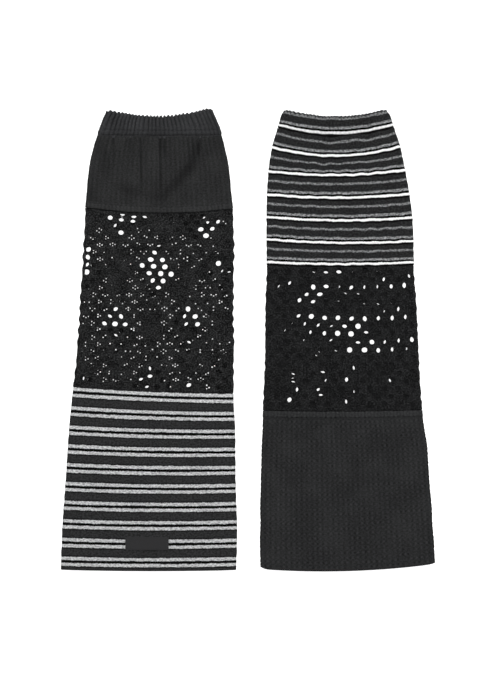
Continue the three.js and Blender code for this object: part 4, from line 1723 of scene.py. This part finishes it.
WAFFLE_PHASES = (0.0, 0.2, 0.5, 0.8)
WHITE: Colour = (0.9, 0.9, 0.9, 1.0)
HEATHER_LIGHT: Colour = (0.66, 0.665, 0.67, 1.0)
HEATHER_DARK: Colour = (0.27, 0.273, 0.277, 1.0)
LINE_LIGHT: Colour = (0.36, 0.365, 0.37, 1.0)
LINE_DARK: Colour = (0.07, 0.072, 0.074, 1.0)
JERSEY_DARK: Colour = (0.013, 0.0132, 0.0136, 1.0)
JERSEY_LIGHT: Colour = (0.032, 0.0325, 0.0332, 1.0)
HAIRLINE: Colour = (0.0015, 0.0015, 0.0015, 1.0)


def lined_bands() -> tuple[StripeBand, ...]:
    """The lines of the right leg warmer's upper cloth: grey, hairline, white and thin grey."""
    grey_offset, thin_offset = -0.185 * STRIPE_REPEAT, 0.4 * STRIPE_REPEAT
    return (
        StripeBand(grey_offset, 1.35, 0.7, LINE_LIGHT, LINE_DARK, 0.95),
        StripeBand(thin_offset, 1.0, 0.7, LINE_LIGHT, LINE_DARK, 0.8),
        StripeBand(-2.15, 1.15, 0.3, HAIRLINE, HAIRLINE),
        StripeBand(2.15, 1.15, 0.3, HAIRLINE, HAIRLINE),
        StripeBand(0.0, 1.15, 0.3, WHITE, (0.8, 0.8, 0.8, 1.0)),
    )


@dataclass
class LeftLegWarmer:
    """The left leg warmer: waffle casing and upper, diamond lace, and a striped lower with a bare label."""

    outline: Outline = field(default_factory=lambda: Outline(LEFT_LINES))
    stripe_pairs: float = 9.75
    first_pair: float = 0.28
    pair_half_gap: float = 3.05

    def panels(self) -> list[TubePanel]:
        """The four tubes, from the rim down."""
        outline = self.outline
        fine = ColumnPlan(30, 2, (0.0, 0.13, 0.27, 0.4, 0.53, 0.67, 0.8, 0.93), (0.0, 0.25, 0.5, 0.75))
        waffle = ColumnPlan(28, 2, WAFFLE_PHASES, (0.0, 0.25, 0.5, 0.75))
        lace = ColumnPlan(124, 6, (0.0,), (0.0,))
        jersey = ColumnPlan(44, 2, (0.0, 0.5), (0.0,))
        stitch = outline.courses["stitch"]
        foot = outline.courses["lace_foot"]
        repeat = (outline.courses["hem"] - foot) / self.stripe_pairs
        outer = self.pair_half_gap + 2.0
        pair = (
            StripeBand(0.0, 1.7, 0.3, HAIRLINE, HAIRLINE),
            StripeBand(-outer, 0.9, 0.4, HAIRLINE, HAIRLINE, 0.8),
            StripeBand(outer, 0.9, 0.4, HAIRLINE, HAIRLINE, 0.8),
            StripeBand(-self.pair_half_gap, 1.6, 0.4, HEATHER_LIGHT, HEATHER_DARK),
            StripeBand(self.pair_half_gap, 1.6, 0.4, HEATHER_LIGHT, HEATHER_DARK),
        )
        stripes = StripedKnit("striped jersey", wobble=0.0008, dark=JERSEY_DARK, light=JERSEY_LIGHT, repeat=repeat, first=foot + self.first_pair * repeat, bands=pair)
        return [
            GatheredCasing(
                "a_casing_knit", ("a_casing",), "waffle_knit", outline, "lip", "stitch", fine, 4.6, 0.85,
                WaffleKnit("gathered waffle knit", wale=4.6, ridge_highlight_share=0.12, sunken_shade=0.62,
                           dark=(0.0225, 0.0229, 0.0243, 1), light=(0.044, 0.0448, 0.0472, 1)),
                upper_edge=Edge.TURNED, cut_round=274.0, depth=1.5,
                scallop=2.9, corner_drop=1.9, corner_reach=2.6, side_wave=0.55,
                stitch_courses=(stitch - 5.6, stitch - 0.9), seed=3,
            ),
            WafflePanel(
                "a_upper_knit", ("a_upper",), "waffle_knit", outline, "stitch", "lace_top", waffle, 5.0, 1.25,
                WaffleKnit("waffle knit", band_middle=outline.courses["lace_top"] - BAND_WIDTH / 2,
                           ridge_highlight_share=0.17, sunken_shade=0.62,
                           dark=(0.0122, 0.0125, 0.0127, 1), light=(0.0288, 0.0294, 0.0298, 1)),
                creases=LEFT_CREASES, band_below=True, under_height=3.3,
                gather_depth=0.8, depth=0.26, seed=3,
            ),
            DiamondLace(
                "a_lace_knit", ("a_lace_front", "a_lace_back"), "lace_knit", outline, "lace_top", "lace_foot",
                lace, 1.25, 1.22, LaceKnit("diamond lace knit"), wall=0.8, fixed_height=3.3, seed=5,
                side_wave=0.7, spots=LEFT_SPOTS,
            ),
            PlainPanel(
                "a_lower_jersey", ("a_lower",), "striped_jersey", outline, "lace_foot", "hem", jersey, 4.0, 2.0,
                stripes, lower_edge=Edge.TURNED, unevenness=0.2, seed=6,
            ),
        ]

    def build(self) -> list[bpy.types.Object]:
        """Make all pieces of this leg warmer."""
        panels = self.panels()
        pieces = [panel.build() for panel in panels]
        stitch = self.outline.courses["stitch"]
        casing = panels[0]
        pieces.append(StitchRow("a_casing_stitches", casing, (stitch - 5.6, stitch - 0.9), "waffle_knit").build())
        pieces.append(BareLabel(self.outline).build())
        return pieces


@dataclass
class RightLegWarmer:
    """The right leg warmer: lined casing and upper, an even net, and a waffle lower."""

    outline: Outline = field(default_factory=lambda: Outline(RIGHT_LINES))

    def panels(self) -> list[TubePanel]:
        """The four tubes, from the rim down."""
        outline = self.outline
        fine = ColumnPlan(30, 2, (0.0, 0.13, 0.27, 0.4, 0.53, 0.67, 0.8, 0.93), (0.0, 0.25, 0.5, 0.75))
        soft = ColumnPlan(56, 3, (0.0, 0.5), (0.0,))
        net = ColumnPlan(124, 6, (0.0,), (0.0,))
        waffle = ColumnPlan(32, 2, WAFFLE_PHASES, (0.0, 0.25, 0.5, 0.75))
        stitch = outline.courses["stitch"]
        lined = StripedKnit("lined soft knit", bands=lined_bands(), wobble=0.0007)
        return [
            GatheredCasing(
                "b_casing_knit", ("b_casing",), "lined_knit", outline, "lip", "stitch", fine, 4.6, 0.85,
                lined, upper_edge=Edge.TURNED, cut_round=274.0, depth=0.7,
                scallop=1.7, corner_drop=1.4, corner_reach=2.2, side_wave=0.45,
                stitch_courses=(stitch - 1.0,), seed=13,
            ),
            StripedPanel(
                "b_upper_knit", ("b_upper",), "lined_knit", outline, "stitch", "lace_top", soft, 2.7, 1.0,
                lined, creases=RIGHT_CREASES, puckers=RIGHT_PUCKERS, drift=0.38, seed=14,
            ),
            EvenNet(
                "b_lace_knit", ("b_lace",), "net_knit", outline, "lace_top", "lace_foot", net, 1.25, 1.22,
                LaceKnit("even net knit", dark=(0.0048, 0.0049, 0.0051, 1), light=(0.0295, 0.03, 0.031, 1),
                         # Painted light on the back layer.
                         far_layer_painted_light=0.4),
                wall=0.8, seed=15, side_wave=0.45, spots=RIGHT_SPOTS,
            ),
            WafflePanel(
                "b_lower_knit", ("b_lower",), "waffle_knit", outline, "lace_foot", "hem", waffle, 5.4, 1.25,
                WaffleKnit(
                    "waffle knit lower", wale=5.4, weave=DOTTED_WEAVE, ridge_highlight_share=0.38, band_middle=outline.courses["lace_foot"] + BAND_WIDTH / 2,
                    dark=(0.0122, 0.0125, 0.0129, 1), light=(0.03, 0.0306, 0.0314, 1),
                ),
                weave=DOTTED_WEAVE, lower_edge=Edge.TURNED, band_above=True, seed=16,
                hem_corners=(1.9, 0.8), creases=RIGHT_LOW_CREASES, unevenness=0.16,
            ),
        ]

    def build(self) -> list[bpy.types.Object]:
        """Make all pieces of this leg warmer."""
        panels = self.panels()
        pieces = [panel.build() for panel in panels]
        stitch = self.outline.courses["stitch"]
        pieces.append(StitchRow("b_casing_stitches", panels[0], (stitch - 1.0,), "lined_knit").build())
        return pieces


@dataclass
class Studio:
    """A white floor, soft light from above and a camera that looks straight down."""

    floor_glow: float = 0.55

    def floor(self) -> bpy.types.Object:
        """Lay the floor that the pair rests on."""
        bpy.ops.object.select_all(action="DESELECT")
        bpy.ops.mesh.primitive_plane_add(size=FLOOR_SIDE, location=(0, 0, -0.0002))
        floor = bpy.context.object
        floor.name = "floor"
        board = NodeBoard("white floor")
        board.shader.inputs["Base Color"].default_value = (0.92, 0.92, 0.92, 1)
        board.shader.inputs["Roughness"].default_value = 0.9
        board.shader.inputs["Emission Color"].default_value = (1, 1, 1, 1)
        board.shader.inputs["Emission Strength"].default_value = self.floor_glow
        floor.data.materials.append(board.material)
        return floor

    def lamp(self, name: str, place: tuple[float, float, float], side: float, power: float) -> None:
        """Add a square soft light that faces the middle of the pair."""
        data = bpy.data.lights.new(name, "AREA")
        data.size = side
        data.energy = power
        lamp = bpy.data.objects.new(name, data)
        bpy.context.collection.objects.link(lamp)
        lamp.location = place
        away = -np.array(place)
        lamp.rotation_euler = (
            math.atan2(math.hypot(away[0], away[1]), -away[2]),
            0.0,
            math.atan2(away[1], away[0]) - math.pi / 2,
        )

    def build(self) -> None:
        """Make the floor, the lights, the world and the camera."""
        self.floor()
        self.lamp("top light", (0.0, 0.1, 2.6), 1.2, 40.0)
        self.lamp("key light", (-1.1, 1.2, 1.0), 0.5, 24.0)
        self.lamp("side light", (1.5, 0.5, 0.9), 0.7, 21.0)
        world = bpy.data.worlds.new("pale studio")
        world.use_nodes = True
        world.node_tree.nodes["Background"].inputs["Color"].default_value = (1, 1, 1, 1)
        world.node_tree.nodes["Background"].inputs["Strength"].default_value = 0.2
        bpy.context.scene.world = world
        bpy.context.scene.view_settings.view_transform = "Standard"
        data = bpy.data.cameras.new("camera")
        data.lens = CAMERA_LENS
        data.clip_end = 100.0
        camera = bpy.data.objects.new("camera", data)
        bpy.context.collection.objects.link(camera)
        camera.location = CAMERA_PLACE
        bpy.context.scene.camera = camera


def triangles(piece: bpy.types.Object) -> int:
    """How many triangles a piece has."""
    return sum(len(face.vertices) - 2 for face in piece.data.polygons)


def main() -> None:
    """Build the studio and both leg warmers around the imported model."""
    logging.basicConfig(level=logging.INFO, format="%(message)s")
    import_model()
    Studio().build()
    total = 0
    for leg_warmer in (LeftLegWarmer(), RightLegWarmer()):
        for piece in leg_warmer.build():
            count = triangles(piece)
            total += count
            LOG.info("%s: %d triangles", piece.name, count)
    LOG.info("all pieces: %d triangles", total)


if __name__ == "__main__":
    main()
